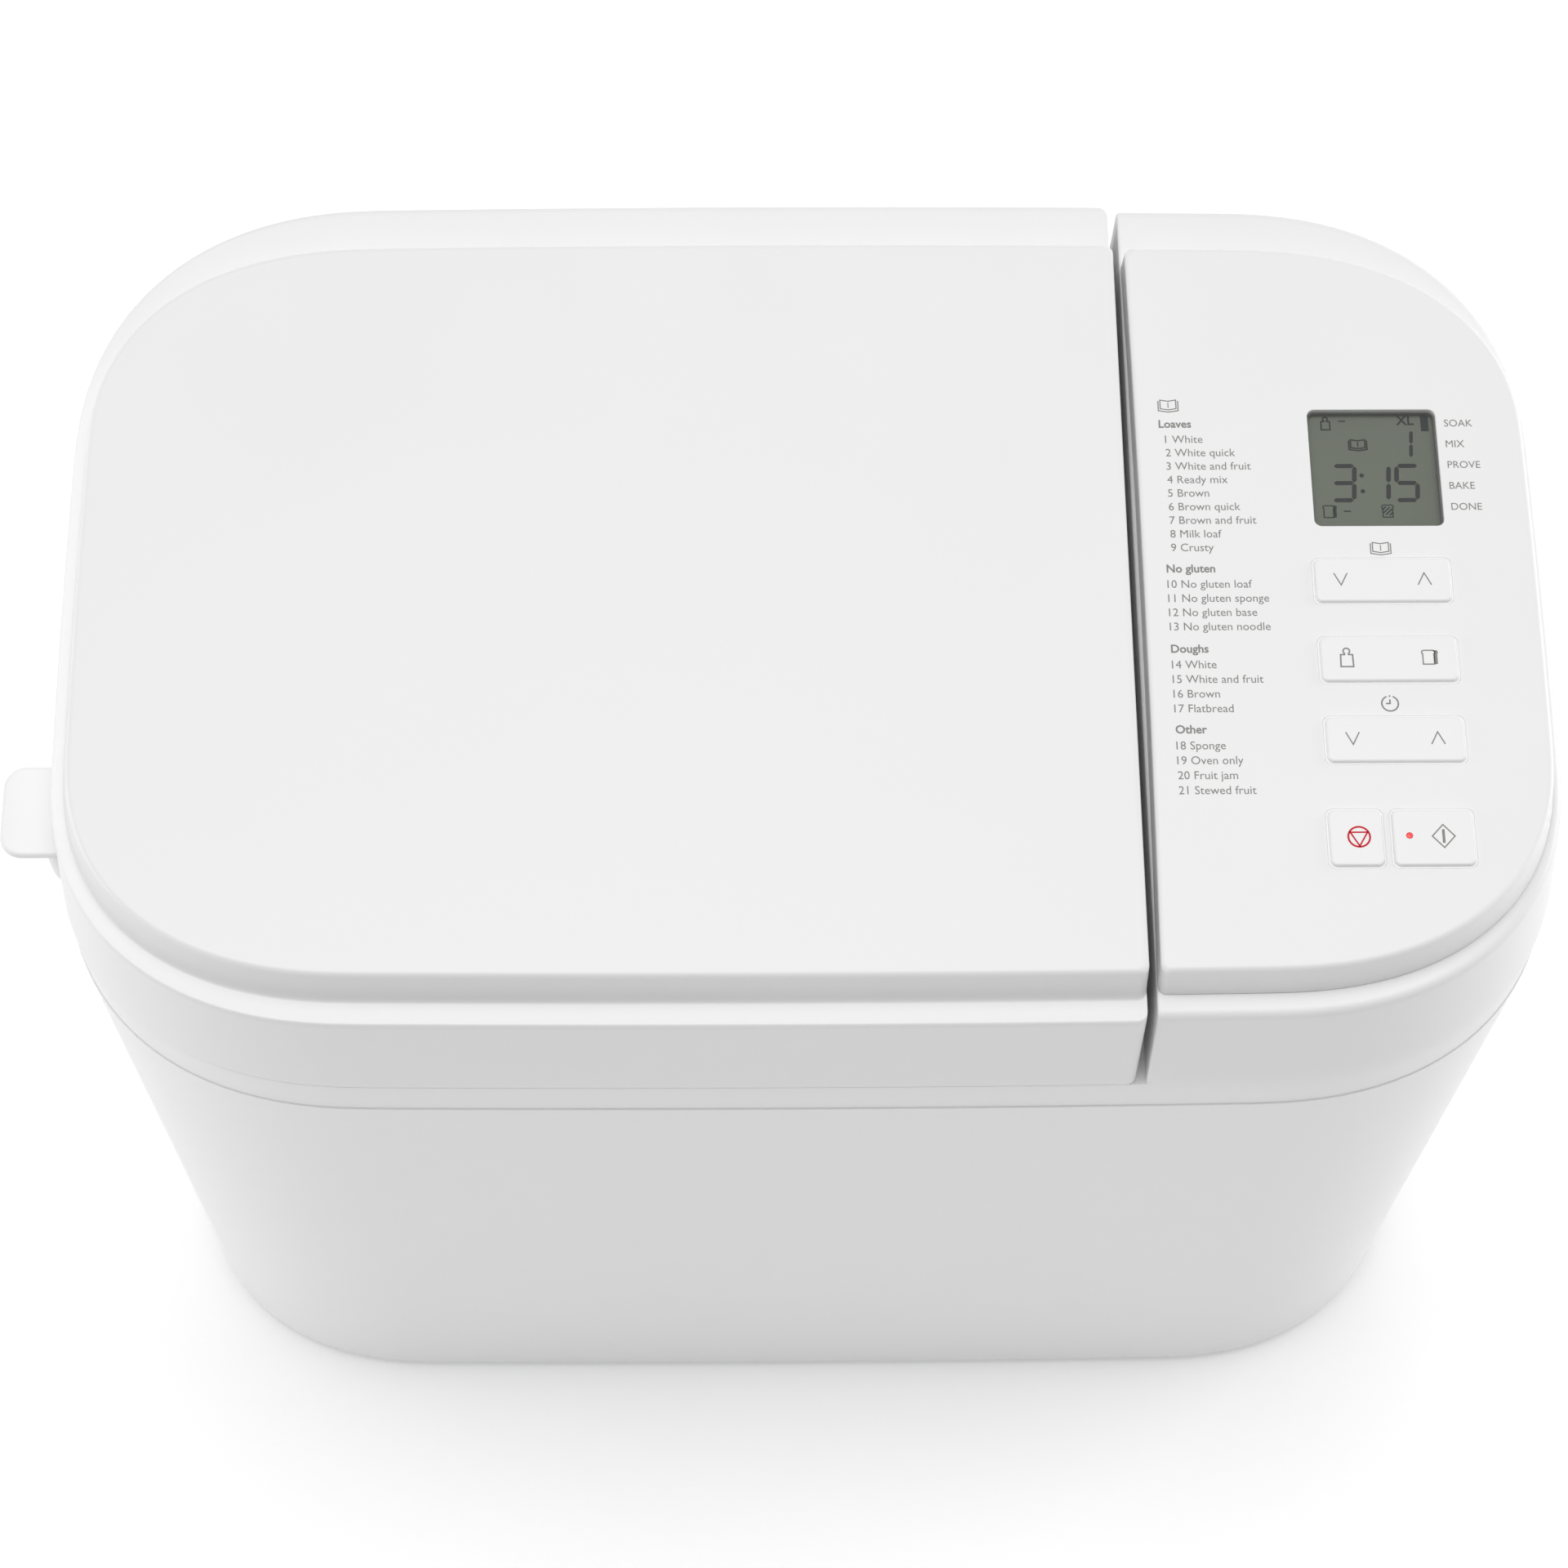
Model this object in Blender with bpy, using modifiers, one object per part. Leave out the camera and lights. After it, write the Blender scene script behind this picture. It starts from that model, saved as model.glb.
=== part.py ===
"""A horizontal bread machine: casings, lid, control panel, oven chamber, bread pan and belt drive.

Helpers take millimetres in the casing's own frame: X to the right, Y to the back, Z up from the
surface it stands on, with the casing's middle at X = Y = 0. An empty then centres the whole object.
"""

import math

import bmesh
import bpy
from mathutils import Matrix, Vector

MM = 0.001
GAP = 0.3  # between pieces that touch

# Casing outline at the lid's ledge
HALF_WIDTH = 194.7
HALF_DEPTH = 120.1
BOW_SIDE, BOW_FRONT, BOW_BACK = 2.3, 2.0, 2.3
CORNER_X, CORNER_FRONT, CORNER_BACK = 79.0, 71.0, 79.0
CORNER_POWER = 2.35
CUT_RADIUS = 2.5
CORNER_STEPS, SMALL_STEPS, SMALL_RADIUS = 8, 3, 6.0
SIDE_POINTS, END_POINTS = 5, 3
WALL = 2.5

# Levels
PLATEAU_Z = 322.3
LEDGE_Z = 311.5
SKIRT_Z = 275.5
DECK_Z = 275.0
SEAM_Z = 260.0
CASING_FOOT_Z = 4.0
BASE_Z = 7.0
CHASSIS_Z = 40.0
FLOOR_Z = 50.0

# Outward offsets from the outline at those levels
SKIRT_OUT, SEAM_OUT, LOWER_OUT, FOOT_OUT = 3.0, 2.2, 2.7, -5.2
CONTROL_OUT = -1.5
LID_STEP = (-7.0, -3.7, -17.7)
LID_TOP = (-9.5, -5.3, -19.7)
PANEL_STEP = (-7.6, -3.8, -18.7)
PANEL_TOP = (-9.8, -5.4, -20.7)
EDGE = 1.0

# Split between the lid and the control housing
LID_RIGHT = 84.2
CONTROL_LEFT = 86.6

# Lift tab on the lid's left side
TAB_Z, TAB_THICK, TAB_WIDTH, TAB_END, TAB_Y = 288.0, 3.0, 26.0, -213.3, -50.5
GUSSET_RADII = ((7.0, 16.2), (9.0, 12.0))  # across and along, at its foot and at its head

# Lid hinge
HINGE_Y, HINGE_Z = 129.6, 284.0
HINGE_X = (-108.0, 42.0)
PIN_RADIUS, KNUCKLE_RADIUS, KNUCKLE_WIDTH, EAR_WIDTH = 1.5, 3.6, 12.0, 4.0
PIN_CLEARANCE = 0.1
BRACKET_LOW_Z, POST_LOW_Z, BORE_REACH = 262.0, 268.0, 20.0

# Oven chamber and bread pan, both centred on the drive shaft
AXIS_X = -52.0
CHAMBER_WIDTH, CHAMBER_DEPTH, CHAMBER_RADIUS = 240.0, 190.0, 30.0
CHAMBER_FLANGE = 8.0
SHEET = 1.0
PAN_TOP_Z, PAN_BASE_Z = 212.0, 72.0
PAN_WIDTH, PAN_DEPTH, PAN_RADIUS, PAN_DRAFT = 204.0, 154.0, 28.0, 6.0
PAN_LIP, PAN_WALL = 2.0, 1.5
HANDLE_Z, HANDLE_ARM, HANDLE_HALF, HANDLE_RADIUS = 205.0, 83.0, 108.0, 2.5
DOME_TOP_Z = 313.0
DOME_WIDTH, DOME_DEPTH = 232.0, 178.0

# Belt drive
MOTOR_X = 130.0
LARGE_PULLEY_RADIUS, MOTOR_PULLEY_RADIUS = 42.0, 9.0
PULLEY_Z, PULLEY_HEIGHT, PULLEY_LIP = 24.0, 8.0, 2.2
SHAFT_RADIUS, MOTOR_SHAFT_RADIUS = 4.0, 3.0
BELT_THICK, BELT_SIDE_GAP = 2.0, 1.6
COUPLING_RADIUS, LUG_REACH, LUG_RADIUS = 13.0, 10.0, 2.5
FOOT_RING_RADIUS, SEAT_RADIUS = 40.0, 46.0
BLADE_BASE_Z, BLADE_HUB_HEIGHT = 82.0, 26.0

# Keys and display: centre x, centre y, width, depth
ROCKER_KEYS = {
    "menu_key": (150.5, -1.8, 36.8, 13.9),
    "loaf_key": (150.5, -25.0, 36.8, 13.9),
    "timer_key": (150.5, -48.1, 36.8, 13.9),
}
PUSH_KEYS = {
    "stop_key": (138.4, -75.9, 14.8, 16.7),
    "start_key": (158.2, -75.9, 21.8, 16.7),
}
DISPLAY = (151.0, 32.4, 34.2, 35.1)
WINDOW_SINK, WINDOW_THICK = 0.4, 1.5
KEY_GAP = 0.5
KEY_PROUD = 1.0
KEY_RADIUS = 2.0
LAMP_SPOT, LAMP_RADIUS, LAMP_DEPTH = (152.0, -75.5), 0.9, 1.7

# Circuit boards: (low, high) in each direction
BOARD_THICK = 1.6
BOARD_Z = 304.0
CONTROL_BOARD_X, CONTROL_BOARD_Y = (97.0, 173.0), (-86.0, 56.0)
SWITCH_TOP_Z, SWITCH_HALF = 309.0, 3.0
POWER_BOARD_X, POWER_BOARD_HALF, POWER_BOARD_Z = 92.0, 65.0, (170.0, 240.0)
POWER_BLOCKS = (("relay", -40, 215, 16), ("choke", -5, 200, 22), ("socket", 45, 220, 9))
POWER_BLOCK_HALF = (11.0, 12.0)
CAPACITOR = (22.0, 190.0, 8.0, 26.0)  # y, z, radius, reach
STANDOFF_Y, STANDOFF_Z, STANDOFF_RADIUS = (-58, 58), (178, 232), 3.0

# Chassis and base plate
CHASSIS_X, CHASSIS_HALF_DEPTH, CHASSIS_THICK = (-160.0, 172.0), 80.0, 2.0
LEG_X, LEG_Y, LEG_HALF = (-150, 160), (-68, 68), 6.0
SPACER_X, SPACER_Y, SPACER_RADIUS = (AXIS_X - 85, AXIS_X + 85), (-60, 60), 5.0
BUSH_HOLE_RADIUS = 8.3
PLATE_THICK = 2.5
SLOT_PITCH, SLOT_WIDTH, SLOT_HALF, SLOT_X = 9, 4, 28.0, 98

# Heat shield, heater, cord inlet
HEAT_SHIELD_X = 79.0
SHIELD_HALF, SHIELD_TOP_Z, SHIELD_FOOT = 92.0, 262.0, 14.0
ELEMENT_Z, ELEMENT_TAIL, ELEMENT_RADIUS, ELEMENT_INSET = 66.0, 12.0, 3.4, 9.0
SENSOR_Y, SENSOR_Z, SENSOR_RADIUS, SENSOR_HEAD = 45.0, 130.0, 2.9, 5.0
CORD_INLET, CORD_HOLE_RADIUS = (95.0, 121.2, 34.0), 9.3

SCREWS = ((-118.0, -98.0), (-118.0, 98.0), (118.0, -98.0), (118.0, 98.0))
FEET = ((-150.0, -72.0), (-150.0, 72.0), (150.0, -72.0), (150.0, 72.0))

SATIN_WHITE = ((0.86, 0.86, 0.85), 0.42, 0.0)
WARM_WHITE = ((0.88, 0.88, 0.87), 0.38, 0.0)
GREY_PLASTIC = ((0.32, 0.33, 0.34), 0.5, 0.0)
BLACK_RUBBER = ((0.03, 0.03, 0.03), 0.8, 0.0)
STEEL = ((0.62, 0.62, 0.63), 0.32, 1.0)
SHEET_STEEL = ((0.55, 0.56, 0.57), 0.4, 1.0)
NON_STICK = ((0.09, 0.09, 0.095), 0.45, 0.1)
BOARD_GREEN = ((0.05, 0.22, 0.1), 0.55, 0.0)
CLEAR = ((0.45, 0.5, 0.42), 0.12, 0.0)
RED_LENS = ((0.7, 0.05, 0.04), 0.25, 0.0)

PARTS = None
CUTTERS = None
CENTRE = None


def clear_scene():
    """Remove what the startup file holds."""
    for item in list(bpy.data.objects):
        bpy.data.objects.remove(item, do_unlink=True)


def make_collections():
    """Make the collection of parts and the hidden one of cutters."""
    global PARTS, CUTTERS
    PARTS = bpy.data.collections.new("bread_machine")
    CUTTERS = bpy.data.collections.new("cutters")
    for group in (PARTS, CUTTERS):
        bpy.context.scene.collection.children.link(group)
    CUTTERS.hide_render = True


def make_centre():
    """Make the empty that puts the middle of the whole object over the origin."""
    global CENTRE
    right = HALF_WIDTH + BOW_SIDE + LOWER_OUT
    front = -(HALF_DEPTH + BOW_FRONT + SKIRT_OUT)
    back = HINGE_Y + KNUCKLE_RADIUS
    CENTRE = bpy.data.objects.new("centre", None)
    CENTRE.location = (-(TAB_END + right) / 2 * MM, -(front + back) / 2 * MM, 0)
    PARTS.objects.link(CENTRE)


def material(name, look):
    """A Principled material from a colour, a roughness and a metallic value."""
    colour, roughness, metallic = look
    made = bpy.data.materials.new(name)
    made.use_nodes = True
    shader = made.node_tree.nodes["Principled BSDF"]
    shader.inputs["Base Color"].default_value = (*colour, 1)
    shader.inputs["Roughness"].default_value = roughness
    shader.inputs["Metallic"].default_value = metallic
    made.diffuse_color = (*colour, 1)
    return made


def place(item, look=None, pivot=(0, 0, 0)):
    """Link an object built in casing coordinates, with its origin at the pivot (mm)."""
    group = CUTTERS if look is None else PARTS
    group.objects.link(item)
    shift = Vector(pivot) * MM
    item.data.transform(Matrix.Translation(-shift))
    item.location = shift
    item.parent = CENTRE
    if look is None:
        item.hide_render = True
        item.display_type = "WIRE"
    else:
        item.data.materials.append(material(item.name, look))
    return item


def mesh_object(name, bm, smooth=False):
    """Turn a bmesh in millimetres into an object in metres."""
    bmesh.ops.recalc_face_normals(bm, faces=bm.faces)
    bmesh.ops.scale(bm, vec=(MM, MM, MM), verts=bm.verts)
    data = bpy.data.meshes.new(name)
    bm.to_mesh(data)
    bm.free()
    if smooth:
        data.polygons.foreach_set("use_smooth", [True] * len(data.polygons))
    return bpy.data.objects.new(name, data)


def arc(centre, radii, start, power=2.0):
    """A quarter of a superellipse, anticlockwise from the start quarter (0 is +X to +Y)."""
    points = []
    steps = SMALL_STEPS if radii[0] < SMALL_RADIUS else CORNER_STEPS
    for step in range(steps + 1):
        angle = math.pi / 2 * step / steps
        along = max(math.cos(angle), 0.0) ** (2 / power)
        across = max(math.sin(angle), 0.0) ** (2 / power)
        x, y = ((along, across), (-across, along), (-along, -across), (across, -along))[start]
        points.append((centre[0] + radii[0] * x, centre[1] + radii[1] * y))
    return points


def between(first, last, count):
    """Evenly spaced points strictly between two points."""
    steps = [(i + 1) / (count + 1) for i in range(count)]
    return [tuple(a + (b - a) * t for a, b in zip(first, last)) for t in steps]


def bowed(point, bulge_left, bulge_right):
    """Move a point of the outline out by the sides' slight bow."""
    x, y = point
    level = max(0.0, 1 - (x / HALF_WIDTH) ** 2)
    end = max(0.0, 1 - (y / HALF_DEPTH) ** 2)
    bulges = bulge_left if x < 0 else bulge_right
    y += -BOW_FRONT * level if y < 0 else BOW_BACK * level
    if bulges:
        x *= 1 + BOW_SIDE / HALF_WIDTH * end
    return x, y


def body_ring(z, out, left=None, right=None):
    """The casing outline at a level, moved out by (front, side, back), cut square at left or right."""
    front, side, back = out if isinstance(out, tuple) else (out, out, out)
    x_low = -(HALF_WIDTH + side) if left is None else left
    x_high = HALF_WIDTH + side if right is None else right
    y_low, y_high = -(HALF_DEPTH + front), HALF_DEPTH + back
    small = (CUT_RADIUS, CUT_RADIUS)
    corners = []
    for start, x, y, cut in (
        (3, x_high, y_low, right),
        (0, x_high, y_high, right),
        (1, x_low, y_high, left),
        (2, x_low, y_low, left),
    ):
        depth = CORNER_FRONT + front if y < 0 else CORNER_BACK + back
        radii = (CORNER_X + side, depth) if cut is None else small
        centre = (x - math.copysign(radii[0], x - x_low - 1), y - math.copysign(radii[1], y))
        corners.append(arc(centre, radii, start, CORNER_POWER if cut is None else 2.0))
    points = []
    for index, corner in enumerate(corners):
        count = SIDE_POINTS if index % 2 else END_POINTS
        points += corner + between(corner[-1], corners[(index + 1) % 4][0], count)
    return [(*bowed(point, left is None, right is None), z) for point in points]


def box_ring(z, width, depth, radius, centre=(AXIS_X, 0.0)):
    """A rounded rectangle at a level."""
    x, y = width / 2 - radius, depth / 2 - radius
    places = ((x, -y, 3), (x, y, 0), (-x, y, 1), (-x, -y, 2))
    points = []
    for dx, dy, start in places:
        points += arc((centre[0] + dx, centre[1] + dy), (radius, radius), start)
    return [(*point, z) for point in points]


def oval_ring(z, radii, centre):
    """An ellipse at a level."""
    points = []
    for start in (3, 0, 1, 2):
        points += arc(centre, radii, start)[:-1]
    return [(*point, z) for point in points]


def loft(name, rings, capped=True):
    """Skin a row of equal-count rings, capping both ends or joining the last to the first."""
    bm = bmesh.new()
    made = [[bm.verts.new(point) for point in ring] for ring in rings]
    pairs = list(zip(made, made[1:])) + ([] if capped else [(made[-1], made[0])])
    count = len(made[0])
    for low, high in pairs:
        for i in range(count):
            j = (i + 1) % count
            bm.faces.new((low[i], low[j], high[j], high[i]))
    if capped:
        bm.faces.new(made[0])
        bm.faces.new(made[-1])
    return mesh_object(name, bm)


def box(name, x, y, z):
    """A box from its (low, high) pairs."""
    bm = bmesh.new()
    bmesh.ops.create_cube(bm, size=1)
    sizes = [high - low for low, high in (x, y, z)]
    middle = [(high + low) / 2 for low, high in (x, y, z)]
    bmesh.ops.scale(bm, vec=sizes, verts=bm.verts)
    bmesh.ops.translate(bm, vec=middle, verts=bm.verts)
    return mesh_object(name, bm)


def rod(name, start, end, radius, sides=16, end_radius=None):
    """A round bar or cone between two points."""
    bm = bmesh.new()
    run = Vector(end) - Vector(start)
    last = radius if end_radius is None else end_radius
    bmesh.ops.create_cone(
        bm, cap_ends=True, segments=sides, radius1=radius, radius2=last, depth=run.length
    )
    turn = Vector((0, 0, 1)).rotation_difference(run).to_matrix().to_4x4()
    middle = (Vector(start) + Vector(end)) / 2
    bmesh.ops.transform(bm, matrix=Matrix.Translation(middle) @ turn, verts=bm.verts)
    return mesh_object(name, bm, smooth=True)


def turned(name, profile, axis, look, steps=24, ring=False):
    """A turned piece: a profile of (radius, z) down its outside, closed up its bore if it is a ring."""
    bm = bmesh.new()
    points = [bm.verts.new((radius * MM, 0, z * MM)) for radius, z in profile]
    for first, last in zip(points, points[1:]):
        bm.edges.new((first, last))
    if ring:
        bm.edges.new((points[-1], points[0]))
    data = bpy.data.meshes.new(name)
    bm.to_mesh(data)
    bm.free()
    item = bpy.data.objects.new(name, data)
    PARTS.objects.link(item)
    item.location = (axis[0] * MM, axis[1] * MM, 0)
    item.parent = CENTRE
    screw = item.modifiers.new("turn", "SCREW")
    screw.steps = screw.render_steps = steps
    screw.use_merge_vertices = True
    screw.merge_threshold = 0.00001
    screw.use_smooth_shade = True
    item.data.materials.append(material(name, look))
    return item


def wire(name, points, radius):
    """A bent wire or tube through points, turned into a mesh."""
    curve = bpy.data.curves.new(name, "CURVE")
    curve.dimensions = "3D"
    curve.bevel_depth = radius * MM
    curve.bevel_resolution = 2
    curve.use_fill_caps = True
    line = curve.splines.new("POLY")
    line.points.add(len(points) - 1)
    for spot, point in zip(line.points, points):
        spot.co = (*[value * MM for value in point], 1)
    line.use_smooth = True
    guide = bpy.data.objects.new(name + "_route", curve)
    CUTTERS.objects.link(guide)
    guide.hide_render = True
    graph = bpy.context.evaluated_depsgraph_get()
    data = bpy.data.meshes.new_from_object(guide.evaluated_get(graph))
    bpy.data.objects.remove(guide, do_unlink=True)
    bm = bmesh.new()
    bm.from_mesh(data)
    bmesh.ops.remove_doubles(bm, verts=bm.verts, dist=0.00001)
    bm.to_mesh(data)
    bm.free()
    return bpy.data.objects.new(name, data)


def combine(item, other, operation="DIFFERENCE"):
    """Join or cut with another object, which stays hidden among the cutters."""
    step = item.modifiers.new(operation.lower(), "BOOLEAN")
    step.operation = operation
    step.solver = "EXACT"
    step.object = place(other)
    return item


def offset_all(out, more):
    """Move a (front, side, back) offset further out."""
    return tuple(value + more for value in out)


def lower_casing():
    """The tall outer shell under the seam, with an inner ledge that the base plate meets."""
    top = SEAM_Z - GAP
    rings = [
        body_ring(CASING_FOOT_Z, FOOT_OUT - EDGE),
        body_ring(CASING_FOOT_Z + EDGE, FOOT_OUT),
        body_ring(top - EDGE, LOWER_OUT),
        body_ring(top, LOWER_OUT - EDGE),
        body_ring(top, LOWER_OUT - WALL),
        body_ring(BASE_Z + 8, FOOT_OUT - WALL),
        body_ring(BASE_Z + 5.5, FOOT_OUT - 4 * WALL),
        body_ring(BASE_Z + 3, FOOT_OUT - 4 * WALL),
        body_ring(BASE_Z + 3, FOOT_OUT - WALL),
        body_ring(CASING_FOOT_Z, FOOT_OUT - WALL),
    ]
    shell = loft("lower_casing", rings, capped=False)
    place(shell, SATIN_WHITE)
    x, y, z = CORD_INLET
    hole = rod("cord_hole", (x, y - 30, z), (x, y + 20, z), CORD_HOLE_RADIUS, 20)
    return combine(shell, hole)


def upper_casing():
    """The rim and deck under the lid, in one piece with the control housing on the right."""
    rings = [
        body_ring(SEAM_Z, SEAM_OUT),
        body_ring(LEDGE_Z - 2 * EDGE, CONTROL_OUT),
        body_ring(LEDGE_Z - 0.5 * EDGE, CONTROL_OUT - 0.5 * EDGE),
        body_ring(LEDGE_Z, CONTROL_OUT - 2 * EDGE),
    ]
    shell = loft("upper_casing", rings)
    place(shell, SATIN_WHITE)
    combine(shell, box("lid_space", (-250, CONTROL_LEFT), (-200, 200), (DECK_Z, 400)))
    inner = loft(
        "casing_inside",
        [
            body_ring(SEAM_Z - 5, SEAM_OUT - WALL + 0.35),
            body_ring(LEDGE_Z - WALL, CONTROL_OUT - WALL),
        ],
    )
    ceiling = box("deck_body", (-250, CONTROL_LEFT + WALL), (-200, 200), (DECK_Z - WALL, 400))
    combine(inner, ceiling)
    combine(shell, inner)
    mouth = [
        box_ring(z, CHAMBER_WIDTH + 2 * SHEET + 2, CHAMBER_DEPTH + 2 * SHEET + 2, CHAMBER_RADIUS)
        for z in (DECK_Z - 20, DECK_Z + 20)
    ]
    combine(shell, loft("deck_mouth", mouth))
    opening = offset_all(PANEL_STEP, -2 * WALL)
    window = [body_ring(z, opening, left=CONTROL_LEFT + 2 * WALL) for z in (300, 330)]
    combine(shell, loft("panel_mouth", window))
    for x in HINGE_X:
        for side in (-1, 1):
            combine(shell, hinge_ear(x + side * (KNUCKLE_WIDTH + EAR_WIDTH + 2 * GAP) / 2), "UNION")
        combine(shell, rod("ear_bore", *hinge_line(x, BORE_REACH), PIN_RADIUS + GAP, 16))
    return shell


def hinge_line(x, reach):
    """The two ends of a run along the hinge's axis, reach to each side of x."""
    return (x - reach, HINGE_Y, HINGE_Z), (x + reach, HINGE_Y, HINGE_Z)


def hinge_ear(x):
    """One ear of a hinge: a bracket out from the rim's back wall and up to the pin."""
    across, back = (x - EAR_WIDTH / 2, x + EAR_WIDTH / 2), HINGE_Y + KNUCKLE_RADIUS
    ear = box("hinge_ear", across, (HALF_DEPTH, back), (BRACKET_LOW_Z, DECK_Z - 1))
    post = box("ear_post", across, (HINGE_Y - KNUCKLE_RADIUS, back), (POST_LOW_Z, HINGE_Z))
    eye = rod("ear_eye", *hinge_line(x, EAR_WIDTH / 2), KNUCKLE_RADIUS, 20)
    combine(ear, post, "UNION")
    return combine(ear, eye, "UNION")


def hinge_pins():
    """The two steel pins that the lid turns on."""
    reach = KNUCKLE_WIDTH / 2 + EAR_WIDTH + GAP
    for name, x in zip(("hinge_pin_left", "hinge_pin_right"), HINGE_X):
        place(rod(name, *hinge_line(x, reach), PIN_RADIUS, 24), STEEL)


def lid_shell():
    """The lid's outer moulding: skirt, ledge, step and plateau, with its tab and hinge knuckles."""
    edge = LID_RIGHT - 0.3 * EDGE
    flat = offset_all(LID_STEP, 0.5)
    rings = [
        body_ring(PLATEAU_Z, offset_all(LID_TOP, -EDGE), right=LID_RIGHT - 1.3 * EDGE),
        body_ring(PLATEAU_Z - 0.3 * EDGE, LID_TOP, right=edge),
        body_ring(PLATEAU_Z - 1.3 * EDGE, offset_all(LID_TOP, 0.4), right=LID_RIGHT),
        body_ring(LEDGE_Z + 0.9 * EDGE, LID_STEP, right=LID_RIGHT),
        body_ring(LEDGE_Z + 0.3 * EDGE, flat, right=LID_RIGHT),
        body_ring(LEDGE_Z, -1.6 * EDGE, right=LID_RIGHT),
        body_ring(LEDGE_Z - 0.4 * EDGE, -0.5 * EDGE, right=LID_RIGHT),
        body_ring(LEDGE_Z - 1.6 * EDGE, 0.1, right=LID_RIGHT),
        body_ring(SKIRT_Z, SKIRT_OUT, right=LID_RIGHT),
        body_ring(SKIRT_Z, SKIRT_OUT - WALL, right=LID_RIGHT - WALL),
        body_ring(LEDGE_Z - 1.2 * WALL, -WALL, right=LID_RIGHT - WALL),
        body_ring(LEDGE_Z - WALL, offset_all(LID_STEP, -0.9 * WALL), right=LID_RIGHT - WALL),
        body_ring(PLATEAU_Z - WALL, offset_all(LID_TOP, -WALL), right=LID_RIGHT - WALL),
    ]
    shell = loft("lid_shell", rings)
    pivot = (AXIS_X, HINGE_Y, HINGE_Z)
    place(shell, SATIN_WHITE, pivot)
    combine(shell, lift_tab(), "UNION")
    for x in HINGE_X:
        half = KNUCKLE_WIDTH / 2
        knuckle = rod("knuckle", *hinge_line(x, half), KNUCKLE_RADIUS, 20)
        reach = (HALF_DEPTH + 2.2, HINGE_Y)
        web = box("knuckle_web", (x - half, x + half), reach, (HINGE_Z - 2, HINGE_Z + 3))
        combine(knuckle, web, "UNION")
        combine(shell, knuckle, "UNION")
        combine(shell, rod("knuckle_bore", *hinge_line(x, BORE_REACH), PIN_RADIUS + PIN_CLEARANCE, 24))
    return shell


def lift_tab():
    """The finger tab that lifts the lid, with the gusset under it."""
    root_x = -(HALF_WIDTH + BOW_SIDE) + 1
    width = root_x - TAB_END
    rings = [
        box_ring(z, 2 * width, TAB_WIDTH, 5, (root_x, TAB_Y)) for z in (TAB_Z - TAB_THICK, TAB_Z)
    ]
    tab = loft("lift_tab", rings)
    keep = box("tab_keep", (TAB_END - 5, root_x), (TAB_Y - 40, TAB_Y + 40), (250, 300))
    combine(tab, keep, "INTERSECT")
    foot, head = GUSSET_RADII
    levels = ((SKIRT_Z + 1, foot), (TAB_Z - 1, head))
    gusset = loft("tab_gusset", [oval_ring(z, radii, (root_x, TAB_Y)) for z, radii in levels])
    combine(gusset, box("gusset_keep", (TAB_END, root_x - 2 * GAP), (-90, 0), (250, 300)), "INTERSECT")
    return combine(tab, gusset, "UNION")


def lid_liner():
    """The sheet inside the lid, raised in a dome over the bread pan."""
    level = SKIRT_Z + 5.8
    outline = SKIRT_OUT * (LEDGE_Z - level) / (LEDGE_Z - SKIRT_Z) - WALL - 2 * GAP
    right = LID_RIGHT - WALL - GAP
    rings = [body_ring(z, outline, right=right) for z in (level, level + SHEET)]
    liner = loft("lid_liner", rings)
    place(liner, SHEET_STEEL, (AXIS_X, HINGE_Y, HINGE_Z))
    outer = [
        box_ring(level + 0.5, DOME_WIDTH + 2 * SHEET, DOME_DEPTH + 2 * SHEET, 24),
        box_ring(DOME_TOP_Z + SHEET, DOME_WIDTH + 2 * SHEET - 8, DOME_DEPTH + 2 * SHEET - 8, 20),
    ]
    inner = [
        box_ring(level - 5, DOME_WIDTH, DOME_DEPTH, 22.5),
        box_ring(level + 0.5, DOME_WIDTH, DOME_DEPTH, 22.5),
        box_ring(DOME_TOP_Z, DOME_WIDTH - 8, DOME_DEPTH - 8, 18.5),
    ]
    combine(liner, loft("dome_outside", outer), "UNION")
    return combine(liner, loft("dome_inside", inner))


def lid_seal():
    """The rubber ring between the lid's liner and the chamber's flange."""
    low, high = DECK_Z + 2 * GAP + SHEET, SKIRT_Z + 5.8 - GAP
    wide = [box_ring(z, CHAMBER_WIDTH + 12, CHAMBER_DEPTH + 12, 34) for z in (low, high)]
    narrow = [box_ring(z, CHAMBER_WIDTH + 5, CHAMBER_DEPTH + 5, 31) for z in (high, low)]
    seal = loft("lid_seal", wide + narrow, capped=False)
    return place(seal, BLACK_RUBBER, (AXIS_X, HINGE_Y, HINGE_Z))


def key_hole(name, size, gap):
    """A cutter through the control panel for a key or the display."""
    x, y, width, depth = size
    rings = [
        box_ring(z, width + 2 * gap, depth + 2 * gap, KEY_RADIUS, (x, y)) for z in (312, 330)
    ]
    return loft(name, rings)


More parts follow.
